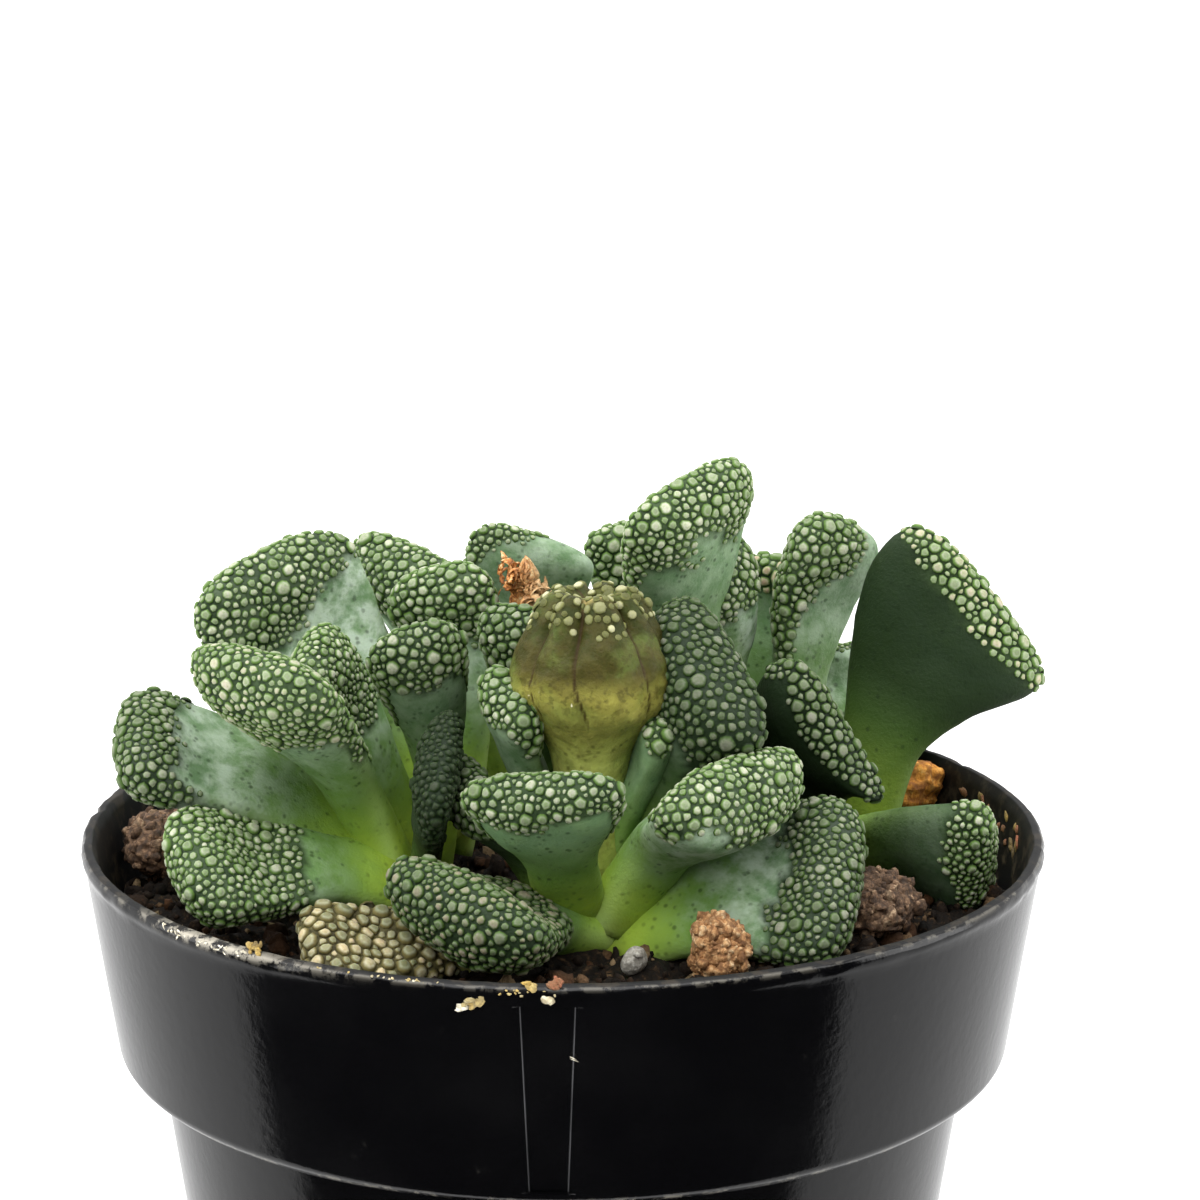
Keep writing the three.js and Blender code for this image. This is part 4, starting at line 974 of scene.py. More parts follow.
# %% Bud skin
bud_skin, tree = start_material("bud_skin")
skin = place_group(tree, fleck_group, Cloud_Size=0.8, Dot_Size=1.0)
rise, seam, wart, tint = (point_value(tree, key) for key in ("along", "seam", "wart", "tint"))
place = object_place(tree)
colour = colour_steps(tree, rise, (0.0, tone(172, 186, 92)), (0.55, tone(176, 184, 96)),
                      (0.66, tone(156, 156, 78)), (0.77, tone(138, 134, 60)),
                      (0.84, tone(56, 54, 14)), (0.97, tone(42, 48, 12)))
green_patch = between(tree, noise_at(tree, place, 380.0, 3.0), 0.45, 0.7, 0, 0.6)
speck = times(tree, between(tree, noise_at(tree, place, 2200.0, 2.0), 0.52, 0.66, 0, 0.5),
              between(tree, rise, 0.64, 0.78))
waist = times(tree, between(tree, rise, 0.70, 0.73), between(tree, rise, 0.80, 0.77))
glints = times(tree, between(tree, noise_at(tree, place, 1500.0, 1.0), 0.72, 0.76), waist)
colour = lay_over(tree, colour, (green_patch, tone(96, 112, 50)),
                  (between(tree, skin["Clouds"], 0, 1, 0, 0.35), tone(84, 74, 34)),
                  (speck, tone(56, 52, 20)), (times(tree, skin["Dots"], 0.5), tone(60, 54, 24)),
                  (between(tree, seam, 0.35, 0.9, 0, 0.85), tone(52, 38, 16)),
                  (glints, tone(226, 220, 190)), (point_value(tree, "heart"), tone(226, 206, 132)))
top = colour_steps(tree, tint, (0.0, tone(78, 80, 44)), (0.5, tone(112, 114, 74)),
                   (0.95, tone(184, 182, 146)))
flank = blend_colour(tree, between(tree, wart, 0.1, 0.5), tone(70, 72, 38), tone(110, 112, 66))
cap = blend_colour(tree, between(tree, wart, 0.45, 0.85), flank, top)
colour = blend_colour(tree, between(tree, wart, 0.01, 0.08), colour, cap)
rough = between(tree, skin["Pores"], 0.2, 0.8, 0.42, 0.66)
height = sums(tree, "ADD", skin["Pores"], skin["Clouds"])
shader = close_material(tree, colour, rough, height, 0.00008, 0.8, specular=0.16)
let_light_in(shader, 0.1, (0.8, 0.8, 0.2), 0.0005)
print("bud skin nodes:", len(tree.nodes))

# %% Make the bud
BUD_ROWS, BUD_COLUMNS = 100, 144
BUD_FOOT, BUD_TALL = 46.5, 21.5
WART_PLACES_ON_BUD = 520
HEART_AT = np.array([BUD_AT[0] + 0.35, BUD_AT[1] - 1.7, 68.2])

random = np.random.default_rng(7)
angle = 2 * np.pi * np.arange(BUD_COLUMNS) / BUD_COLUMNS
skin_points, seam_depth = bud_surface(BUD_ROWS, angle)
flat_points = skin_points.reshape(-1, 3)
height = flat_points[:, 2]
thick_with_warts = step_up(66.4, 67.6, height) + 0.02 * step_up(64, 65, height)
weight = (thick_with_warts * (1 - 0.9 * seam_depth.ravel())).reshape(BUD_ROWS, -1)[:-1]
i, j, place, out = scatter_places(flat_points, BUD_ROWS, BUD_COLUMNS, weight,
                                  WART_PLACES_ON_BUD, random)
largest = 0.11 + (0.25 * step_up(65.8, 68.1, place[:, 2])
                  * (0.2 + 0.8 * random.random(len(place))))
chosen, radii = set_warts(place, largest, random, spacing=1.12)
dome_points, quads, tips, dome, share, each = wart_domes(
    place[chosen], out[chosen], radii, radii > 0, 8, random, height=0.8)
caps = np.array([[*BUD_AT, 46.4], [*BUD_AT, 67.6]])
start = len(flat_points) + len(caps)
bud_points = np.concatenate([flat_points, caps, dome_points])
heart = step_up(1.1, 0.4, np.linalg.norm(bud_points - HEART_AT, axis=1))
make_piece("fine_flower_bud", bud_points,
           closed_faces(BUD_ROWS, BUD_COLUMNS) + [quads + start, tips + start],
           bud_skin, ["flower_bud"], "bud_skin", heart=heart,
           along=np.clip((bud_points[:, 2] - BUD_FOOT) / BUD_TALL, 0, 1),
           seam=np.concatenate([seam_depth.ravel(), [0, 1], np.zeros(len(dome_points))]),
           wart=np.concatenate([np.zeros(start), dome]),
           tint=np.concatenate([np.full(start, 0.5),
                                np.repeat(random.random(len(chosen)), each)]))
print("bud warts:", len(chosen))

# %% [markdown]
# ## The withered flower
#
# Behind the bud an old flower has dried up on its stalk: a crumpled, rusty brown tuft with
# curled, papery petals, paler where it meets the bud. The stalk and core are one tube with
# a broken surface, and each petal is a thin closed blade that curls and twists by its own
# random numbers.

# %% Withered petal material
withered, tree = start_material("withered_petal")
grain = place_group(tree, grain_group, Grain_Size=0.5)
sideways = add_node(tree, "SeparateXYZ", object_place(tree)).outputs[0]
paler = times(tree, between(tree, sideways, -0.0034, -0.0012), 0.6)
stalk = between(tree, point_value(tree, "along"), 0.75, 0.2)
colour = colour_steps(tree, grain["Grain"], (0.1, tone(104, 58, 26)), (0.45, tone(184, 114, 50)),
                      (0.75, tone(208, 152, 92)), (0.95, tone(230, 204, 156)))
colour = lay_over(tree, colour, (paler, tone(196, 172, 128)), (stalk, tone(120, 116, 60)))
close_material(tree, colour, between(tree, grain["Grain"], 0, 1, 0.6, 0.9), grain["Height"],
               0.0001)
print("withered petal nodes:", len(tree.nodes))


# %% Stalk and petals
def carried_tube(centre, along, radius, columns):
    """Rings of points round a centre line; radius has one value per station. Also gives the
    outward directions."""
    side = np.cross(along, [0.0, 1.0, 0.0])
    side /= np.linalg.norm(side, axis=1, keepdims=True)
    up = np.cross(along, side)
    angle = (2 * np.pi * np.arange(columns) / columns)[None, :, None]
    spoke = side[:, None] * np.cos(angle) + up[:, None] * np.sin(angle)
    return centre[:, None] + spoke * radius[:, None, None], spoke


def petal_blades(base, rows, columns, random):
    """Thin curled blades round a tuft, each with a point more at either end. Each is a
    flattened tube: its centre line leaves the base outwards, droops and curls; its width
    swells and falls like a sine and ripples."""
    count = len(base)
    t = np.linspace(0, 1, rows)[None, :, None]
    heading = 2 * np.pi * (np.arange(count) + random.random(count)) / count
    lift = random.uniform(-0.5, 1.2, count)
    length = random.uniform(0.5, 1.15, count)[:, None, None]
    curl = random.uniform(-2.4, 2.4, count)[:, None, None]
    out = np.stack([np.cos(heading) * np.cos(lift), np.sin(heading) * np.cos(lift),
                    np.sin(lift)], axis=-1)[:, None]
    across = np.stack([-np.sin(heading), np.cos(heading), 0 * heading], axis=-1)[:, None]
    normal = np.cross(out, across)
    bend = 0.6 * curl * t ** 1.5
    centre = base[:, None] + length * t * (out * np.cos(bend) + normal * np.sin(bend))
    turn = (2 * np.pi * np.arange(columns) / columns)[:, None]
    width = (random.uniform(0.10, 0.34, count)[:, None, None]
             * np.sin(np.pi * (0.12 + 0.86 * t)) ** 0.7 * (1 + 0.25 * np.sin(t * 19 + curl * 7)))
    twist = random.uniform(-1.2, 1.2, count)[:, None, None] * t
    wide = across * np.cos(twist) + normal * np.sin(twist)
    thick = 0.07 * np.cross(out + 0 * wide, wide)
    ring = (np.cos(turn) * (wide * width)[:, :, None] + np.sin(turn) * thick[:, :, None])
    blades = centre[:, :, None] + ring
    ends = np.stack([blades[:, 0].mean(1), blades[:, -1].mean(1)], axis=1)
    return np.concatenate([blades.reshape(count, -1, 3), ends], axis=1)


# %% Make the withered flower
FLOWER_CURVE = np.array([[2.5, 8, 48.5], [-2.6, 5.6, 58], [-2.4, 3.6, 68.3]])
# share of the length and radius there
FLOWER_RADII = np.array([[0, .8], [.25, .75], [.5, .7], [.7, .7], [.8, .7], [.85, .85],
                         [.91, .9], [.95, .7], [1, .2]])
TUBE_ROWS, TUBE_COLUMNS = 80, 36
BLADE_ROWS, BLADE_COLUMNS = 9, 6
PETALS = 150
TUFT_FROM, TUFT_WAY = np.array([-3.3, 3.2, 67.5]), np.array([2.3, -0.6, -2.0])

random = np.random.default_rng(21)
s = np.linspace(0, 1, TUBE_ROWS)
centre, along = bent_line(*FLOWER_CURVE, s)
tube, spoke = carried_tube(centre, along, np.interp(s, *FLOWER_RADII.T), TUBE_COLUMNS)
crumpled = 0.05 + 0.4 * step_up(0.78, 0.86, s)[:, None]
tube = tube + spoke * (broken(tube, 0.9, 4, 5) * crumpled)[..., None]
tube = np.concatenate([tube.reshape(-1, 3), [centre[0], centre[-1] + 0.3 * along[-1]]])
base = TUFT_FROM + random.random((PETALS, 1)) * TUFT_WAY
base = base + random.uniform(-0.7, 0.7, (PETALS, 3))
blades = petal_blades(base, BLADE_ROWS, BLADE_COLUMNS, random)
each = blades.shape[1]
blade_faces = [repeated(faces, PETALS, each) + len(tube)
               for faces in closed_faces(BLADE_ROWS, BLADE_COLUMNS)]
make_piece("fine_withered_flower", np.concatenate([tube, blades.reshape(-1, 3)]),
           closed_faces(TUBE_ROWS, TUBE_COLUMNS) + blade_faces, withered,
           ["withered_flower"], "withered_petal",
           along=np.concatenate([np.repeat(s, TUBE_COLUMNS), [0, 1], np.ones(PETALS * each)]))
print("withered flower:", made_triangles[-1], "triangles")

# %% [markdown]
# ## The crowns
#
# Each rosette stands on a short, thick stem with a tap root, mostly hidden by the leaf
# bases. Above the soil it is lime green with ringed scars where old leaves came away.

# %% Crown skin
crown_skin, tree = start_material("crown_skin")
skin = place_group(tree, fleck_group, Cloud_Size=1.2, Dot_Size=0.9)
colour = blend_colour(tree, skin["Clouds"], tone(128, 150, 62), tone(96, 126, 50))
colour = lay_over(tree, colour, (times(tree, skin["Dots"], 0.6), tone(60, 66, 30)),
                  (point_value(tree, "earthy"), tone(70, 54, 36)))
close_material(tree, colour, between(tree, skin["Pores"], 0.2, 0.8, 0.45, 0.7),
               sums(tree, "ADD", skin["Pores"], skin["Clouds"]), 0.0001, 0.8)
print("crown skin nodes:", len(tree.nodes))

# %% Make the crowns
# place and radius of each, and then height and share of that radius up the line
CROWNS = {"left_crown": (-9.5, -0.5, 3.6), "centre_crown": (1.5, -6.0, 3.6),
          "back_crown": (5.5, 10.5, 4.2), "right_crown": (18.5, 6.0, 3.2)}
CROWN_LINE = np.array([[35.0, 0.02], [36.0, 0.25], [40.5, 0.45], [45.4, 0.72], [47.7, 1.0],
                       [49.0, 0.62], [49.4, 0.05]])
CROWN_ROWS, CROWN_COLUMNS = 64, 56

line = smooth_line(CROWN_LINE, CROWN_ROWS)
z, share = line[:, :1], np.clip(line[:, 1:], 0.03, 2)
angle = 2 * np.pi * np.arange(CROWN_COLUMNS)[None, :] / CROWN_COLUMNS
for number, (name, (x, y, size)) in enumerate(CROWNS.items()):
    r = size * share * (1 + 0.08 * np.sin(3 * angle + number)) + 0.10 * np.sin(z * 6.0) * share
    r = r + 0.22 * broken(round_points(r, angle, z, x, y), 1.6, 3, 30 + number) * share
    points = np.concatenate([round_points(r, angle, z, x, y).reshape(-1, 3),
                             [[x, y, z[0, 0]], [x, y, z[-1, 0]]]])
    make_piece("fine_" + name, points, closed_faces(CROWN_ROWS, CROWN_COLUMNS),
               crown_skin, [name], "crown_skin", earthy=step_up(48.0, 46.8, points[:, 2]))
print("crowns:", list(CROWNS))

# %% [markdown]
# ## The soil
#
# The pot is filled with a dark, fibrous mix to a finger's breadth below the rim. Its top is
# a round grid whose height follows the same slow waves as the solid, broken by noise, and
# many small crumbs lie on it. Below, the grid runs down inside the wall and closes under
# the bottom.

# %% Where the soil lies
# height and radius up the inside of the wall
WALL_INSIDE = np.array([[1.2, 19.57], [37.0, 24.75], [39.0, 27.35], [51.4, 29.35], [52.0, 29.65]])
SOIL_LEVEL = 47.0
CLEARANCE = 0.3


def inside_radius(z):
    """Radius of the inside of the pot's wall at height z."""
    return np.interp(z, WALL_INSIDE[:, 0], WALL_INSIDE[:, 1])


def soil_height(x, y):
    """Two crossing waves, calmer near the wall."""
    waves = (np.sin(0.71 * x + 1.3) * np.cos(0.63 * y - 0.4)
             + 0.7 * np.sin(1.27 * x - 1.61 * y + 2.1))
    return SOIL_LEVEL + 0.4 * waves * (1 - 0.6 * step_up(22, 28, np.hypot(x, y)))


def soil_top(x, y):
    """The slow waves and five octaves of noise, with sharper pits between lumps."""
    flat = np.stack([x, y, 0 * x], axis=-1)
    rough = broken(flat, 2.4, 5, 11, 0.62)
    return soil_height(x, y) + 0.42 * rough - 0.5 * np.abs(broken(flat, 1.3, 3, 19)) + 0.15


print("radius of the soil's top:", round(float(inside_radius(SOIL_LEVEL)), 2), "mm")

# %% Potting mix material
soil_earth, tree = start_material("potting_mix")
grain = place_group(tree, grain_group, Grain_Size=0.8)
coarse = place_group(tree, grain_group, Grain_Size=4.0)
colour = colour_steps(tree, grain["Grain"], (0.0, tone(6, 5, 3)), (0.5, tone(22, 16, 10)),
                      (0.8, tone(46, 34, 22)), (1.0, tone(92, 72, 50)))
damp = between(tree, coarse["Grain"], 0.2, 0.9, 0, 0.7)
colour = blend_colour(tree, damp, colour, tone(20, 15, 10))
crumb = colour_steps(tree, point_value(tree, "tint"), (0.0, tone(12, 9, 6)),
                     (0.5, tone(34, 24, 16)), (0.82, tone(78, 52, 32)),
                     (0.98, tone(150, 128, 96)))
crumb = blend_colour(tree, between(tree, grain["Grain"], 0.3, 1.0, 0.0, 0.6), crumb, colour)
colour = blend_colour(tree, point_value(tree, "crumb"), colour, crumb)
close_material(tree, colour, between(tree, grain["Grain"], 0, 1, 0.8, 0.98), grain["Height"],
               0.0003, specular=0.25)
print("potting mix nodes:", len(tree.nodes))


# %% Crumbs
CRUMB_ROWS, CRUMB_COLUMNS = 3, 6


def crumb_lumps(centre, size, random):
    """Many small broken stones at once: each a ball of a few rings whose points are moved
    in and out at random and which is squashed by its own amounts. Gives points, faces and
    the number of points in each."""
    count = len(centre)
    fall = np.pi * (np.arange(CRUMB_ROWS) + 0.8)[:, None] / (CRUMB_ROWS + 0.6)
    angle = 2 * np.pi * np.arange(CRUMB_COLUMNS) / CRUMB_COLUMNS
    ball = round_points(np.sin(fall), angle, np.cos(fall)).reshape(-1, 3)
    ball = np.concatenate([ball, [[0, 0, 1], [0, 0, -1]]])
    radius = random.uniform(0.68, 1.25, (count, len(ball), 1))
    squash = random.uniform(0.55, 1.25, (count, 1, 3))
    turn = random.uniform(0, 2 * np.pi, count)[:, None]
    points = ball[None] * radius * squash * size[:, None, None]
    x = points[..., 0] * np.cos(turn) - points[..., 1] * np.sin(turn)
    y = points[..., 0] * np.sin(turn) + points[..., 1] * np.cos(turn)
    points = np.stack([x, y, points[..., 2]], axis=-1) + centre[:, None]
    faces = [repeated(part, count, len(ball))
             for part in closed_faces(CRUMB_ROWS, CRUMB_COLUMNS, turned_over=True)]
    return points.reshape(-1, 3), faces, len(ball)


# %% Make the soil
SOIL_COLUMNS, TOP_ROWS = 240, 84
CRUMBS = 3200
# heights of the rings below the top, and the heights at which the wall gives their radius
BELOW_Z = np.array([1.5, 12, 24, 36.6, 39.2, 43])[:, None]
BELOW_WALL = np.array([1.5, 12, 24, 36.4, 39.2, 43])[:, None]

random = np.random.default_rng(47)
edge = inside_radius(SOIL_LEVEL) - CLEARANCE - 0.1
angle = 2 * np.pi * np.arange(SOIL_COLUMNS)[None, :] / SOIL_COLUMNS
top_r = edge * (1 - np.arange(TOP_ROWS)[:, None] / TOP_ROWS) ** 0.92
top = round_points(top_r, angle, soil_top(top_r * np.cos(angle), top_r * np.sin(angle)))
below = round_points(inside_radius(BELOW_WALL) - CLEARANCE, angle, BELOW_Z)
rows = len(below) + len(top)
soil_points = np.concatenate([below.reshape(-1, 3), top.reshape(-1, 3),
                              [[0, 0, BELOW_Z[0, 0]], [0, 0, soil_top(0.0, 0.0)]]])
spread = edge * np.sqrt(random.random(CRUMBS)) * 0.99
turn = 2 * np.pi * random.random(CRUMBS)
x, y = spread * np.cos(turn), spread * np.sin(turn)
size = 0.22 + 0.62 * random.random(CRUMBS) ** 3.2
lie = np.stack([x, y, soil_top(x, y) + 0.25 * size], axis=-1)
lie[:, :2] *= np.minimum(1, (edge - size * 1.3) / np.maximum(spread, 1e-3))[:, None]
crumbs, crumb_faces, each = crumb_lumps(lie, size, random)
start = len(soil_points)
make_piece("fine_soil", np.concatenate([soil_points, crumbs]),
           closed_faces(rows, SOIL_COLUMNS) + [faces + start for faces in crumb_faces],
           soil_earth, ["soil"], "potting_mix",
           crumb=np.repeat([0.0, 1.0], [start, len(crumbs)]),
           tint=np.concatenate([np.full(start, 0.5), np.repeat(random.random(CRUMBS), each)]))
print("soil:", made_triangles[-1], "triangles, crumbs:", CRUMBS)

# %% [markdown]
# ## Clods, bark and grit
#
# A few larger bits lie on the soil: brown clods of earth, an orange chip of bark, a tan
# crumbly lump and a pale flake of grit. Each is a ball pushed in and out by noise. Clods
# are granular, so small grains sit all over them, and the bark is layered, so it steps in
# and out along its height.

# %% Materials of the loose bits
def earth_material(name, *stops, grain_size=0.6, bump=0.0002):
    """Grainy matter from the tones of its grains, dark to light."""
    material, tree = start_material(name)
    grain = place_group(tree, grain_group, Grain_Size=grain_size)
    mixed = sums(tree, "ADD", times(tree, grain["Grain"], 0.6),
                 times(tree, point_value(tree, "tint"), 0.4))
    pits = between(tree, grain["Pits"], 0.35, 0.9, 0, 0.55)
    colour = blend_colour(tree, pits, colour_steps(tree, mixed, *stops), stops[0][1])
    close_material(tree, colour, between(tree, grain["Grain"], 0, 1, 0.75, 0.95),
                   grain["Height"], bump)
    return material


clod_earth = earth_material("clod_earth", (0.0, tone(40, 28, 19)), (0.4, tone(88, 66, 48)),
                            (0.65, tone(126, 98, 74)), (0.9, tone(176, 150, 120)))
bark = earth_material("bark", (0.0, tone(104, 58, 18)), (0.35, tone(186, 118, 36)),
                      (0.6, tone(222, 154, 62)), (0.85, tone(238, 196, 120)), grain_size=0.9)
tan_crumb = earth_material("tan_crumb", (0.0, tone(96, 62, 36)), (0.4, tone(164, 118, 74)),
                           (0.65, tone(198, 154, 106)), (0.9, tone(222, 194, 152)))
grit = earth_material("grit", (0.0, tone(110, 106, 96)), (0.5, tone(160, 156, 146)),
                      (1.0, tone(208, 206, 198)), grain_size=0.4, bump=0.0001)
print("earths:", [made.name for made in (clod_earth, bark, tan_crumb, grit)])


# %% Shape of the loose bits
def loose_surface(half, seed, rows, columns, grain, layered):
    """A ball of rows x columns directions. Its radius is 0.95 plus slow noise and a
    cobbled noise of small grains; a layered piece also steps in and out along its height."""
    fall = np.pi * (np.arange(rows) + 0.5)[:, None] / rows
    angle = 2 * np.pi * np.arange(columns)[None, :] / columns
    at = round_points(np.sin(fall), angle, np.cos(fall)) * np.array(half)
    radius = 0.95 + 0.16 * lumps(at, 1.6, seed) + 0.09 * lumps(at, 0.8, seed + 1)
    radius = radius + grain * (0.5 - np.abs(broken(at, 0.55, 3, seed + 2)))
    if layered:
        sheets = np.sin(5 * (at @ np.array([0.25, 0.35, 1.0]) + 0.35 * lumps(at, 1.3, seed + 5)))
        radius = radius + 0.05 * np.sign(sheets) * np.abs(sheets) ** 0.4
    return at * radius[..., None]


def turned(points, turn):
    """Points turned about the axis (0.3, 0.2, 1) by the angle, as the solids are."""
    axis = np.array([0.3, 0.2, 1.0]) / math.sqrt(1.13)
    return (points * math.cos(turn) + np.cross(axis, points) * math.sin(turn)
            + axis * (points @ axis)[..., None] * (1 - math.cos(turn)))


# %% Make the loose bits
LOOSE = {
    # name: place, half sizes, turn, seed, material, slot
    "bark_chip": ((23.6, 13.4, 50.1), (2.5, 1.6, 2.0), 0.7, 3, bark, "bark"),
    "clod_left": ((-25.6, 3.6, 49.4), (2.7, 3.0, 2.1), 0.2, 5, clod_earth, "clod_earth"),
    "clod_right": ((19.2, -7.3, 48.9), (2.9, 2.4, 1.9), 0.5, 8, clod_earth, "clod_earth"),
    "clod_front": ((9.2, -15.4, 48.9), (1.7, 1.5, 2.1), 0.1, 11, tan_crumb, "tan_crumb"),
    "grit_flake": ((4.2, -15.4, 48.2), (1.0, 0.7, 0.9), 0.9, 14, grit, "grit"),
}
GRAINS_ON_CLOD = 380

for name, (at, half, turn, seed, material, slot) in LOOSE.items():
    rows, columns = (56, 72) if half[0] > 2.2 else (36, 48)
    cobbles = 0.05 if name in ("grit_flake", "bark_chip") else 0.13
    shape = loose_surface(half, seed, rows, columns, cobbles, name == "bark_chip")
    shape = turned(shape, turn) + np.array(at)
    points = np.concatenate([shape.reshape(-1, 3), [shape[0].mean(0), shape[-1].mean(0)]])
    random = np.random.default_rng(300 + seed)
    count = GRAINS_ON_CLOD if name.startswith("clod") else 1
    row = np.arccos(random.uniform(-1, 1, count)) / np.pi * rows
    seat = shape[np.clip(row, 0, rows - 1).astype(int), random.integers(0, columns, count)]
    size = 0.16 + 0.42 * random.random(count) ** 2.5
    grains, grain_faces, each = crumb_lumps(seat + (np.array(at) - seat) * 0.03, size, random)
    start = len(points)
    make_piece("fine_" + name, np.concatenate([points, grains]),
               closed_faces(rows, columns, turned_over=True)
               + [faces + start for faces in grain_faces],
               material, [name], slot,
               tint=np.concatenate([np.full(start, 0.4), np.repeat(random.random(count), each)]))
print("loose bits:", list(LOOSE))

# %% [markdown]
# ## The nursery pot
#
# The pot is thin black plastic: a tapered body, a wider collar with a small lip, three
# shallow recessed strips down the outside, a floor with four drain holes. The wall is a
# profile turned round the axis. The columns of its grid crowd at the edges of the strips,
# so the radius can step in there. The rim is worn: nicked a little and scuffed pale.

# %% Pot profile
# radius and height up the outside, over the lip and down the inside
POT_CORNERS = [(19.8, 0.0), (20.4, 0.6), (25.8, 37.8), (27.6, 38.0), (28.3, 38.6),
               (30.1, 50.8), (30.35, 51.4), (30.25, 51.8), (30.0, 52.0), (29.65, 52.0),
               (29.35, 51.4), (27.35, 39.0), (24.75, 37.0), (19.57, 1.2)]
CORNER_ROUND = [0, .25, .3, .2, .35, .4, .25, .09, .09, .09, .3, .5, .5, 0]
POT_TOP = 52.0


def rounded_profile(corners, rounding, spacing=3.4):
    """Points along straight runs between corners, no further apart than `spacing`, with
    each corner replaced by a small curve that starts and ends `rounding` away from it."""
    corners = np.array(corners, float)
    out = [corners[:1]]
    for k in range(1, len(corners)):
        before, here = corners[k - 1], corners[k]
        run = np.linalg.norm(here - before)
        first, last = min(rounding[k - 1], run * 0.45), min(rounding[k], run * 0.45)
        t = np.linspace(first / run, 1 - last / run, max(2, int(run / spacing) + 2))[:, None]
        out.append(before + (here - before) * t)
        if k + 1 < len(corners):
            after = corners[k + 1]
            leave = min(rounding[k], np.linalg.norm(after - here) * 0.45)
            ahead = here + (after - here) / np.linalg.norm(after - here) * leave
            behind = here + (before - here) / run * last
            q = np.array([0.3, 0.6, 0.85])[:, None]
            out.append((1 - q) ** 2 * behind + 2 * q * (1 - q) * here + q ** 2 * ahead)
    line = np.concatenate(out + [corners[-1:]])
    apart = np.linalg.norm(np.diff(line, axis=0), axis=1)
    return line[np.concatenate([[True], apart > 1e-4])]


def with_rows(line, levels):
    """The line with points at the given heights added to its outside part, and the number
    of points that are outside."""
    rim = int(np.argmax(line[:, 1] > POT_TOP - 0.1))
    outside, inside = line[:rim], line[rim:]
    order = np.argsort(outside[:, 1] + 1e-6 * outside[:, 0], kind="stable")
    new = np.array([[np.interp(z, outside[order, 1], outside[order, 0]), z] for z in levels])
    joined = np.concatenate([outside, new])
    order = np.lexsort((joined[:, 0], joined[:, 1]))
    return np.concatenate([joined[order], inside]), len(joined)


# pairs of heights between which the strips start and end at foot, ledge, collar and lip
STRIP_ENDS = (1.9, 2.0, 37.1, 37.2, 38.9, 39.0, 50.65, 50.75)
profile, outside_rows = with_rows(rounded_profile(POT_CORNERS, CORNER_ROUND), STRIP_ENDS)
print("pot profile:", len(profile), "points,", outside_rows, "of them outside")

# %% Pot wall with its strips
POT_COLUMNS = 288
STRIP_DEPTH = 0.25
STRIP_TURN = -1.6
# in each third of the round, columns up to the first angle from the strip's middle lie in
# the strip, those up to the last one on its edge, where the wall steps in at the second
# one, and the rest lie beside it
IN_STRIP, STEP_AT, ON_EDGE = 3.75, 4.4, 5.0
EDGE_WIDTH = 0.12


def strip_width(z):
    """Width of a recessed strip at height z: wide at the top of the collar, narrow at the
    foot of the body."""
    return np.where(z > 38, 2.1 + 0.9 * (z - 38.7) / 12.1, 1.7 + 0.4 * (z - 2) / 35.2)


def strip_here(z):
    """1 where the strips run, at the body and at the collar, and 0 at foot, ledge and lip."""
    body = (z >= 1.95) & (z <= 37.15)
    collar = (z >= 38.95) & (z <= 50.7)
    return (body | collar).astype(float)


def pot_wall(profile, outside_rows):
    """Turns the profile. Within each third of the round, the even column angles are moved
    so that two columns lie on each edge of the strip, a tenth of a millimetre apart."""
    r, z = profile[:, :1], profile[:, 1:]
    even = (np.arange(POT_COLUMNS) + 0.5) * 360 / POT_COLUMNS
    third = np.floor(even / 120)
    offset = even - third * 120 - 60
    half = np.degrees(strip_width(z) / 2 / r)
    edge = np.degrees(EDGE_WIDTH / r)
    size = np.abs(offset)[None, :]
    inner = size / IN_STRIP * half
    step = half + (size - IN_STRIP) / (ON_EDGE - IN_STRIP) * edge
    outer = half + edge + (size - ON_EDGE) / (60 - ON_EDGE) * (60 - half - edge)
    moved = np.where(size <= IN_STRIP, inner, np.where(size <= ON_EDGE, step, outer))
    angle = np.radians(np.sign(offset) * moved + third * 120 + 60 - 150 + STRIP_TURN)
    inside_strip = (size < STEP_AT) & (np.arange(len(profile))[:, None] < outside_rows)
    return round_points(r - STRIP_DEPTH * inside_strip * strip_here(z), angle, z), angle


wall, wall_angle = pot_wall(profile, outside_rows)
print("pot wall:", wall.shape)


# %% Wear and unevenness of the wall
def near_height(z, width):
    """A bell of the given width round a height of the wall."""
    return np.exp(-((wall[..., 2] - z) / width) ** 2)


way = np.stack([np.cos(wall_angle), np.sin(wall_angle), 0 * wall_angle], axis=-1)
wobble = 0.05 * lumps(wall, 9.0, 3) * step_up(0.5, 4, wall[..., 2])
wear = step_up(50.3, 51.6, wall[..., 2])
nicks = wear * 0.16 * np.clip(broken(wall, 1.5, 4, 9) - 0.15, 0, 1)
ragged = wear * 0.035 * lumps(wall, 0.35, 14)
wall = wall + way * (wobble + ragged - nicks)[..., None]
wall[..., 2] -= nicks * 0.7

outside = (np.arange(len(profile)) < outside_rows)[:, None]
bearing = np.degrees(np.arctan2(wall[..., 0], -wall[..., 1]))
scuffs = near_height(51.8, 0.32) * np.exp(-((bearing + 42) / 11) ** 2)
edge_wear = np.clip(outside * (0.25 * near_height(51.9, 0.16) + 0.3 * near_height(38.4, 0.12))
                    + 0.85 * scuffs, 0, 1)
# distance in mm from the edge of a strip, and 9 where there is none; the material paints a thin highlight
# where it is small
from_strip = (np.degrees(wall_angle) + 90 - STRIP_TURN) % 120
from_strip = np.abs(from_strip - 120 * (from_strip > 60))
beside = np.radians(from_strip) * profile[:, :1] - strip_width(profile[:, 1:]) / 2
crease = np.where(strip_here(profile[:, 1:]) * outside > 0, np.abs(beside), 9.0)
print("deepest nick in the rim:", round(float(nicks.max()), 3), "mm")

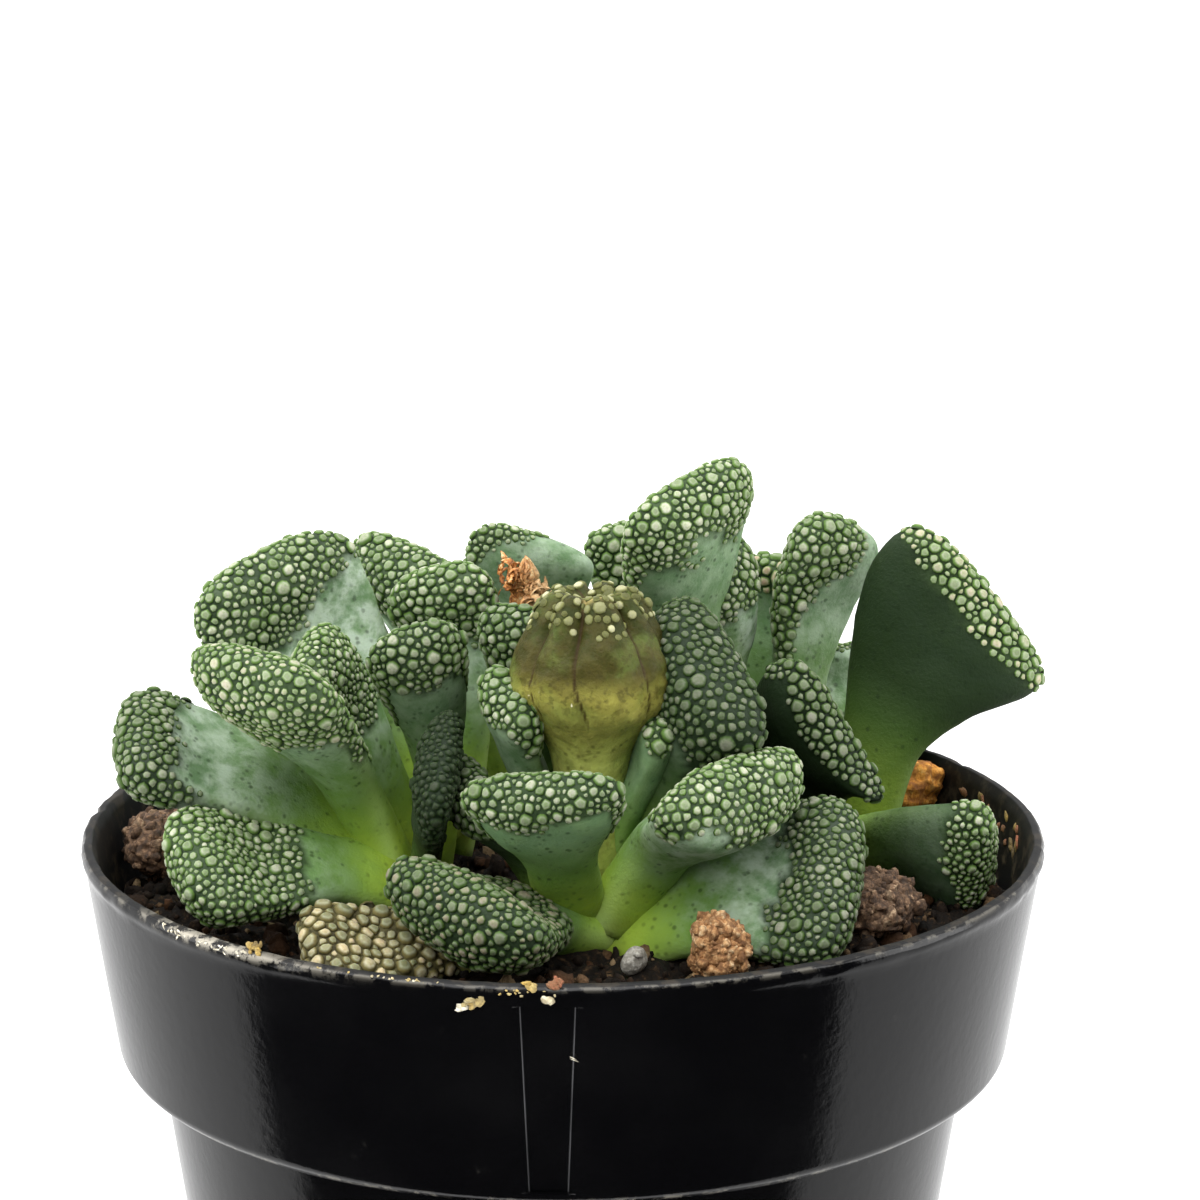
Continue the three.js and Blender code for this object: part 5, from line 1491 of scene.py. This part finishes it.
# %% Pot floor with its drain holes
# Each quarter of the floor is a grid between the circle of its hole and its own outline:
# out along one edge, round the arc and back along the other.
HOLE_CIRCLE, HOLE_RADIUS, QUARTER = 13.0, 2.2, POT_COLUMNS // 4
FLOOR_THICK = 1.2
FLOOR_ROWS = 6
EDGE_POINTS = 9


def floor_quarter(k, rim_ring, z, down):
    """One quarter of the floor at height z. Spokes run from the hole to the outline, each
    at the angle at which the hole's centre sees its outline point."""
    ring = np.roll(rim_ring, -k * QUARTER, axis=0)[:QUARTER + 1]
    share = np.linspace(0, 1, EDGE_POINTS)[:, None]
    outline = np.concatenate([share[:-1] * ring[0], ring, (share[::-1] * ring[-1])[1:-1]])
    turn = math.radians(48.75 + 90 * ((k + 2) % 4))
    hole = np.array([HOLE_CIRCLE * math.cos(turn), HOLE_CIRCLE * math.sin(turn)])
    spoke = outline - hole
    circle = hole + spoke / np.linalg.norm(spoke, axis=1, keepdims=True) * HOLE_RADIUS
    flat = circle + (outline - circle) * np.linspace(0, 1, FLOOR_ROWS)[:, None, None]
    points = np.concatenate([flat, np.full(flat.shape[:2] + (1,), z)], axis=-1)
    faces = grid_faces(FLOOR_ROWS, len(outline))
    return points, faces if down else faces[:, ::-1]


def weld(points, polygons):
    """Points that share a place to a ten-thousandth of a millimetre become one. Also gives
    the numbers of the points that are kept."""
    kept, first, number = np.unique(np.round(points, 4), axis=0, return_index=True,
                                    return_inverse=True)
    return points[first], [number.ravel()[faces] for faces in polygons], first


blocks, pot_faces = [wall.reshape(-1, 3)], [grid_faces(*wall.shape[:2])]
start = len(blocks[0])
for k in range(4):
    low, low_faces = floor_quarter(k, wall[0, :, :2], 0.0, down=False)
    high, high_faces = floor_quarter(k, wall[-1, :, :2], FLOOR_THICK, down=True)
    bore = np.stack([low[0], high[0]])
    for points, faces in ((low, low_faces), (high, high_faces),
                          (bore, grid_faces(2, low.shape[1]))):
        blocks.append(points.reshape(-1, 3))
        pot_faces.append(faces + start)
        start += len(blocks[-1])
floor_points = start - len(blocks[0])
pot_points, pot_faces, kept = weld(np.concatenate(blocks), pot_faces)
print("pot points:", len(pot_points))

# %% [markdown]
# ## Black plastic
#
# The plastic is black with a soft gloss. It is a little cloudy and dusty where it was
# handled, the rim is scuffed grey, painted thin grey highlights mark the edges of the strips
# where light grazes their steps, and watering has splashed soil on the inside of the wall.

# %% Pot material
plastic, tree = start_material("pot_plastic")
place = object_place(tree)
cloudy = noise_at(tree, place, 70.0, 4.0, 0.6)
fine = noise_at(tree, place, 1300.0, 5.0, 0.65)
base = blend_colour(tree, between(tree, cloudy, 0.35, 0.75), tone(3, 3, 4), tone(8, 8, 9))
dusty = times(tree, between(tree, noise_at(tree, place, 240.0, 6.0, 0.75), 0.62, 0.72),
              between(tree, fine, 0.45, 0.65, 0.0, 0.25))
worn = times(tree, point_value(tree, "worn"),
             between(tree, noise_at(tree, place, 700.0, 6.0, 0.7), 0.49, 0.58))
# painted highlight: thin grey lines on the edges of the strips, where light grazes their steps
strip_edge_highlight = times(tree, between(tree, point_value(tree, "crease"), 0.11, 0.03),
               between(tree, cloudy, 0.35, 0.7, 0.25, 0.95))
soiled = times(tree, point_value(tree, "soiled"),
               between(tree, noise_at(tree, place, 600.0, 5.0, 0.7), 0.50, 0.62))
colour = lay_over(tree, base, (dusty, tone(64, 62, 58)), (worn, tone(164, 158, 144)),
                  (strip_edge_highlight, tone(104, 104, 106)), (soiled, tone(62, 54, 42)))
inner = between(tree, point_value(tree, "soiled"), 0.0, 0.3)
rough = sums(tree, "ADD", between(tree, cloudy, 0.3, 0.8, 0.10, 0.17),
             times(tree, sums(tree, "MAXIMUM", worn, inner), 0.5))
close_material(tree, colour, rough, fine, 0.00003, 0.6, specular=0.28)
print("plastic nodes:", len(tree.nodes))


# %% Make the pot
def on_pot(values):
    """A number per point of the wall, and 0 on the floor, for the points that are kept."""
    return np.append(values, np.zeros(floor_points))[kept]


splashed = ~outside * (0.4 + 0.6 * step_up(51.5, 48.0, wall[..., 2]))
fine_pot = make_piece("fine_pot", pot_points, pot_faces, plastic, ["pot"], "pot_plastic",
                      worn=on_pot(edge_wear), crease=on_pot(crease), soiled=on_pot(splashed))
fine_pot.data.set_sharp_from_angle(angle=math.radians(38))
print("pot:", made_triangles[-1], "triangles")

# %% [markdown]
# ## Flakes stuck to the pot
#
# Potting splashed a few bits on the pot: yellow and reddish crumbs on the rim, flat flakes
# that dried on under it, grit along the lip, dirt on the inside of the wall, and a short
# pale scratch beside the strip. Each is a small stone that is flattened against the wall
# and turned by its own amount.

# %% Flake material
flake_matter, tree = start_material("flake_matter")
grain = place_group(tree, grain_group, Grain_Size=0.5)
colour = colour_steps(tree, point_value(tree, "tint"), (0.0, tone(150, 92, 66)),
                      (0.18, tone(96, 82, 58)), (0.35, tone(190, 158, 78)),
                      (0.65, tone(176, 160, 112)), (0.9, tone(232, 226, 206)))
dirty = between(tree, grain["Grain"], 0.3, 0.8, 0.5, 0.0)
colour = blend_colour(tree, dirty, colour, tone(96, 82, 50))
close_material(tree, colour, between(tree, grain["Grain"], 0, 1, 0.75, 0.95), grain["Height"],
               0.0001)
print("flake nodes:", len(tree.nodes))

# %% Stuck flakes
# one row for each group: bearing in degrees and height of its middle, the spread of both,
# half sizes along and up, tone, how many
GROUPS = [(-35.5, 52.2, 0.9, 0.28, 0.26, 0.24, 0.35, 12),
          (-9.3, 50.95, 1.3, 0.35, 0.34, 0.24, 0.6, 12),
          (-10.6, 50.55, 0.5, 0.10, 0.42, 0.22, 0.95, 3),
          (-1.9, 51.25, 0.5, 0.12, 0.32, 0.18, 0.85, 4),
          (-20.0, 51.85, 7.0, 0.10, 0.14, 0.08, 0.7, 22),
          (-43.0, 51.7, 7.0, 0.20, 0.22, 0.07, 0.95, 30),
          (-4.5, 51.6, 4.0, 0.16, 0.12, 0.08, 0.6, 12),
          (1.3, 47.6, 0.25, 0.12, 0.42, 0.035, 0.95, 2),
          (-0.8, 52.1, 0.7, 0.25, 0.30, 0.28, 0.05, 7),
          (-3.4, 52.0, 0.7, 0.15, 0.28, 0.24, 0.45, 6),
          (104.0, 50.0, 11.0, 0.9, 0.42, 0.36, 0.12, 24)]
# height and radius up the outside of the collar and over the lip
RIM_OUTSIDE = np.array([[38.6, 28.3], [50.8, 30.1], [51.4, 30.35], [52.0, 30.1], [52.6, 29.85]])
INSIDE_FROM = 1.5
FLAKE_THICK = 0.12

random = np.random.default_rng(83)
rows = [(bearing + spread * (2 * random.random() - 1), z + tall * (2 * random.random() - 1),
         along * random.uniform(0.6, 1.3), up * random.uniform(0.6, 1.3),
         random.uniform(-0.9, 0.9), np.clip(tint + random.uniform(-0.15, 0.15), 0, 1))
        for bearing, z, spread, tall, along, up, tint, count in GROUPS for _ in range(count)]
bearing, z, along, up, tilt, tint = np.array(rows).T[..., None]
bearing = np.radians(bearing)
reach = np.interp(z, RIM_OUTSIDE[:, 0], RIM_OUTSIDE[:, 1])
reach = np.where(bearing > INSIDE_FROM, inside_radius(z) - 0.05, reach)
unit, flake_faces, each = crumb_lumps(np.zeros((len(z), 3)), np.ones(len(z)), random)
a, b, h = np.moveaxis(unit.reshape(len(z), each, 3), -1, 0)
a = a * along
h = h * up
out = reach + b * np.minimum(FLAKE_THICK, np.minimum(along, up))
level = a * np.cos(tilt) - h * np.sin(tilt)
lift = a * np.sin(tilt) + h * np.cos(tilt)
flakes = np.stack([out * np.sin(bearing) + level * np.cos(bearing),
                   level * np.sin(bearing) - out * np.cos(bearing), z + lift], axis=-1)
make_piece("stuck_flakes", flakes.reshape(-1, 3), flake_faces, flake_matter, slot="tan_crumb",
           tint=np.repeat(tint, each))
print("stuck flakes:", len(z))

# %% [markdown]
# ## Floor and light
#
# The photograph is a studio cut-out: white all round, light from above, behind and both
# sides, and a dark room on the camera's side, which is why the black pot stays black in
# front and shows grey reflections only towards its sides. The border between light and
# dark is turned a little to one side, because the photograph's reflection is broader on
# one side than on the other.

# %% Floor
FLOOR_RADIUS = 1400.0
FLOOR_RINGS, FLOOR_COLUMNS = 11, 64

floor_paint, tree = start_material("floor_paint")
pale = blend_colour(tree, noise_at(tree, object_place(tree), 3.0, 2.0), (0.90, 0.90, 0.90, 1),
                    (0.93, 0.93, 0.93, 1))
shader = tree.nodes["Principled BSDF"]
tree.links.new(pale, shader.inputs["Base Color"])
shader.inputs["Roughness"].default_value = 0.9
shader.inputs["Specular IOR Level"].default_value = 0.1
out_to = FLOOR_RADIUS * (np.arange(1, FLOOR_RINGS + 1)[:, None] / FLOOR_RINGS) ** 2
angle = 2 * np.pi * np.arange(FLOOR_COLUMNS)[None, :] / FLOOR_COLUMNS
points = np.concatenate([round_points(out_to, angle, 0.0).reshape(-1, 3), [[0, 0, 0]]])
mesh, triangles = make_mesh(
    "studio_floor", points,
    [fan_faces(np.arange(FLOOR_COLUMNS), len(points) - 1),
     grid_faces(FLOOR_RINGS, FLOOR_COLUMNS)[:, ::-1]], floor_paint)
floor = bpy.data.objects.new("studio_floor", mesh)
bpy.context.scene.collection.objects.link(floor)
floor.visible_glossy = False
print("floor:", triangles, "triangles")

# %% Room light
ROOM_BRIGHT, ROOM_DARK = 1.25, 0.045
BORDER_TURN = 0.095

world = bpy.data.worlds.new("studio_room")
bpy.context.scene.world = world
world.use_nodes = True
tree = world.node_tree
way = add_node(tree, "SeparateXYZ", add_node(tree, "TexCoord").outputs["Generated"]).outputs
level = sums(tree, "SQRT", sums(tree, "ADD", times(tree, way[0], way[0]),
                                times(tree, way[1], way[1])))
turned_way = sums(tree, "ADD", way[1], times(tree, way[0], BORDER_TURN))
aside = between(tree, sums(tree, "DIVIDE", turned_way, level), -0.18, -0.155)
above = between(tree, way[2], 0.25, 0.75)
glow = between(tree, sums(tree, "MAXIMUM", aside, above), 0, 1, ROOM_DARK, ROOM_BRIGHT)
background = tree.nodes["Background"]
background.inputs["Color"].default_value = (1.0, 1.0, 1.0, 1.0)
tree.links.new(glow, background.inputs["Strength"])
print("room light nodes:", len(tree.nodes))


# %% Soft lights
def softbox(name, at, towards, width, height, power):
    """A rectangular soft light at a place, facing a point."""
    data = bpy.data.lights.new(name, "AREA")
    data.shape = "RECTANGLE"
    data.size = width
    data.size_y = height
    data.energy = power
    light = bpy.data.objects.new(name, data)
    light.location = at
    away = np.array(at) - np.array(towards)
    light.rotation_euler = (math.atan2(math.hypot(away[0], away[1]), away[2]), 0,
                            math.atan2(away[1], away[0]) + math.pi / 2)
    bpy.context.scene.collection.objects.link(light)
    return light


softbox("overhead", (-0.10, -0.15, 0.85), (0, 0, 0.05), 0.9, 0.9, 8.0)
softbox("left_side", (-0.75, -0.05, 0.35), (0, 0, 0.04), 0.5, 0.8, 3.5)
softbox("right_side", (0.75, -0.05, 0.35), (0, 0, 0.04), 0.5, 0.8, 3.5)
fill = softbox("front_fill", (-0.30, -0.70, 0.45), (0, 0, 0.05), 0.6, 0.6, 4.0)
fill.visible_glossy = False
bpy.context.scene.view_settings.view_transform = "Standard"

# %% [markdown]
# ## Counting and closing
#
# The number of triangles that were added, and of the largest piece, is printed.

# %% Sizes and the end
print("triangles added:", sum(made_triangles), "- largest piece:", max(made_triangles))
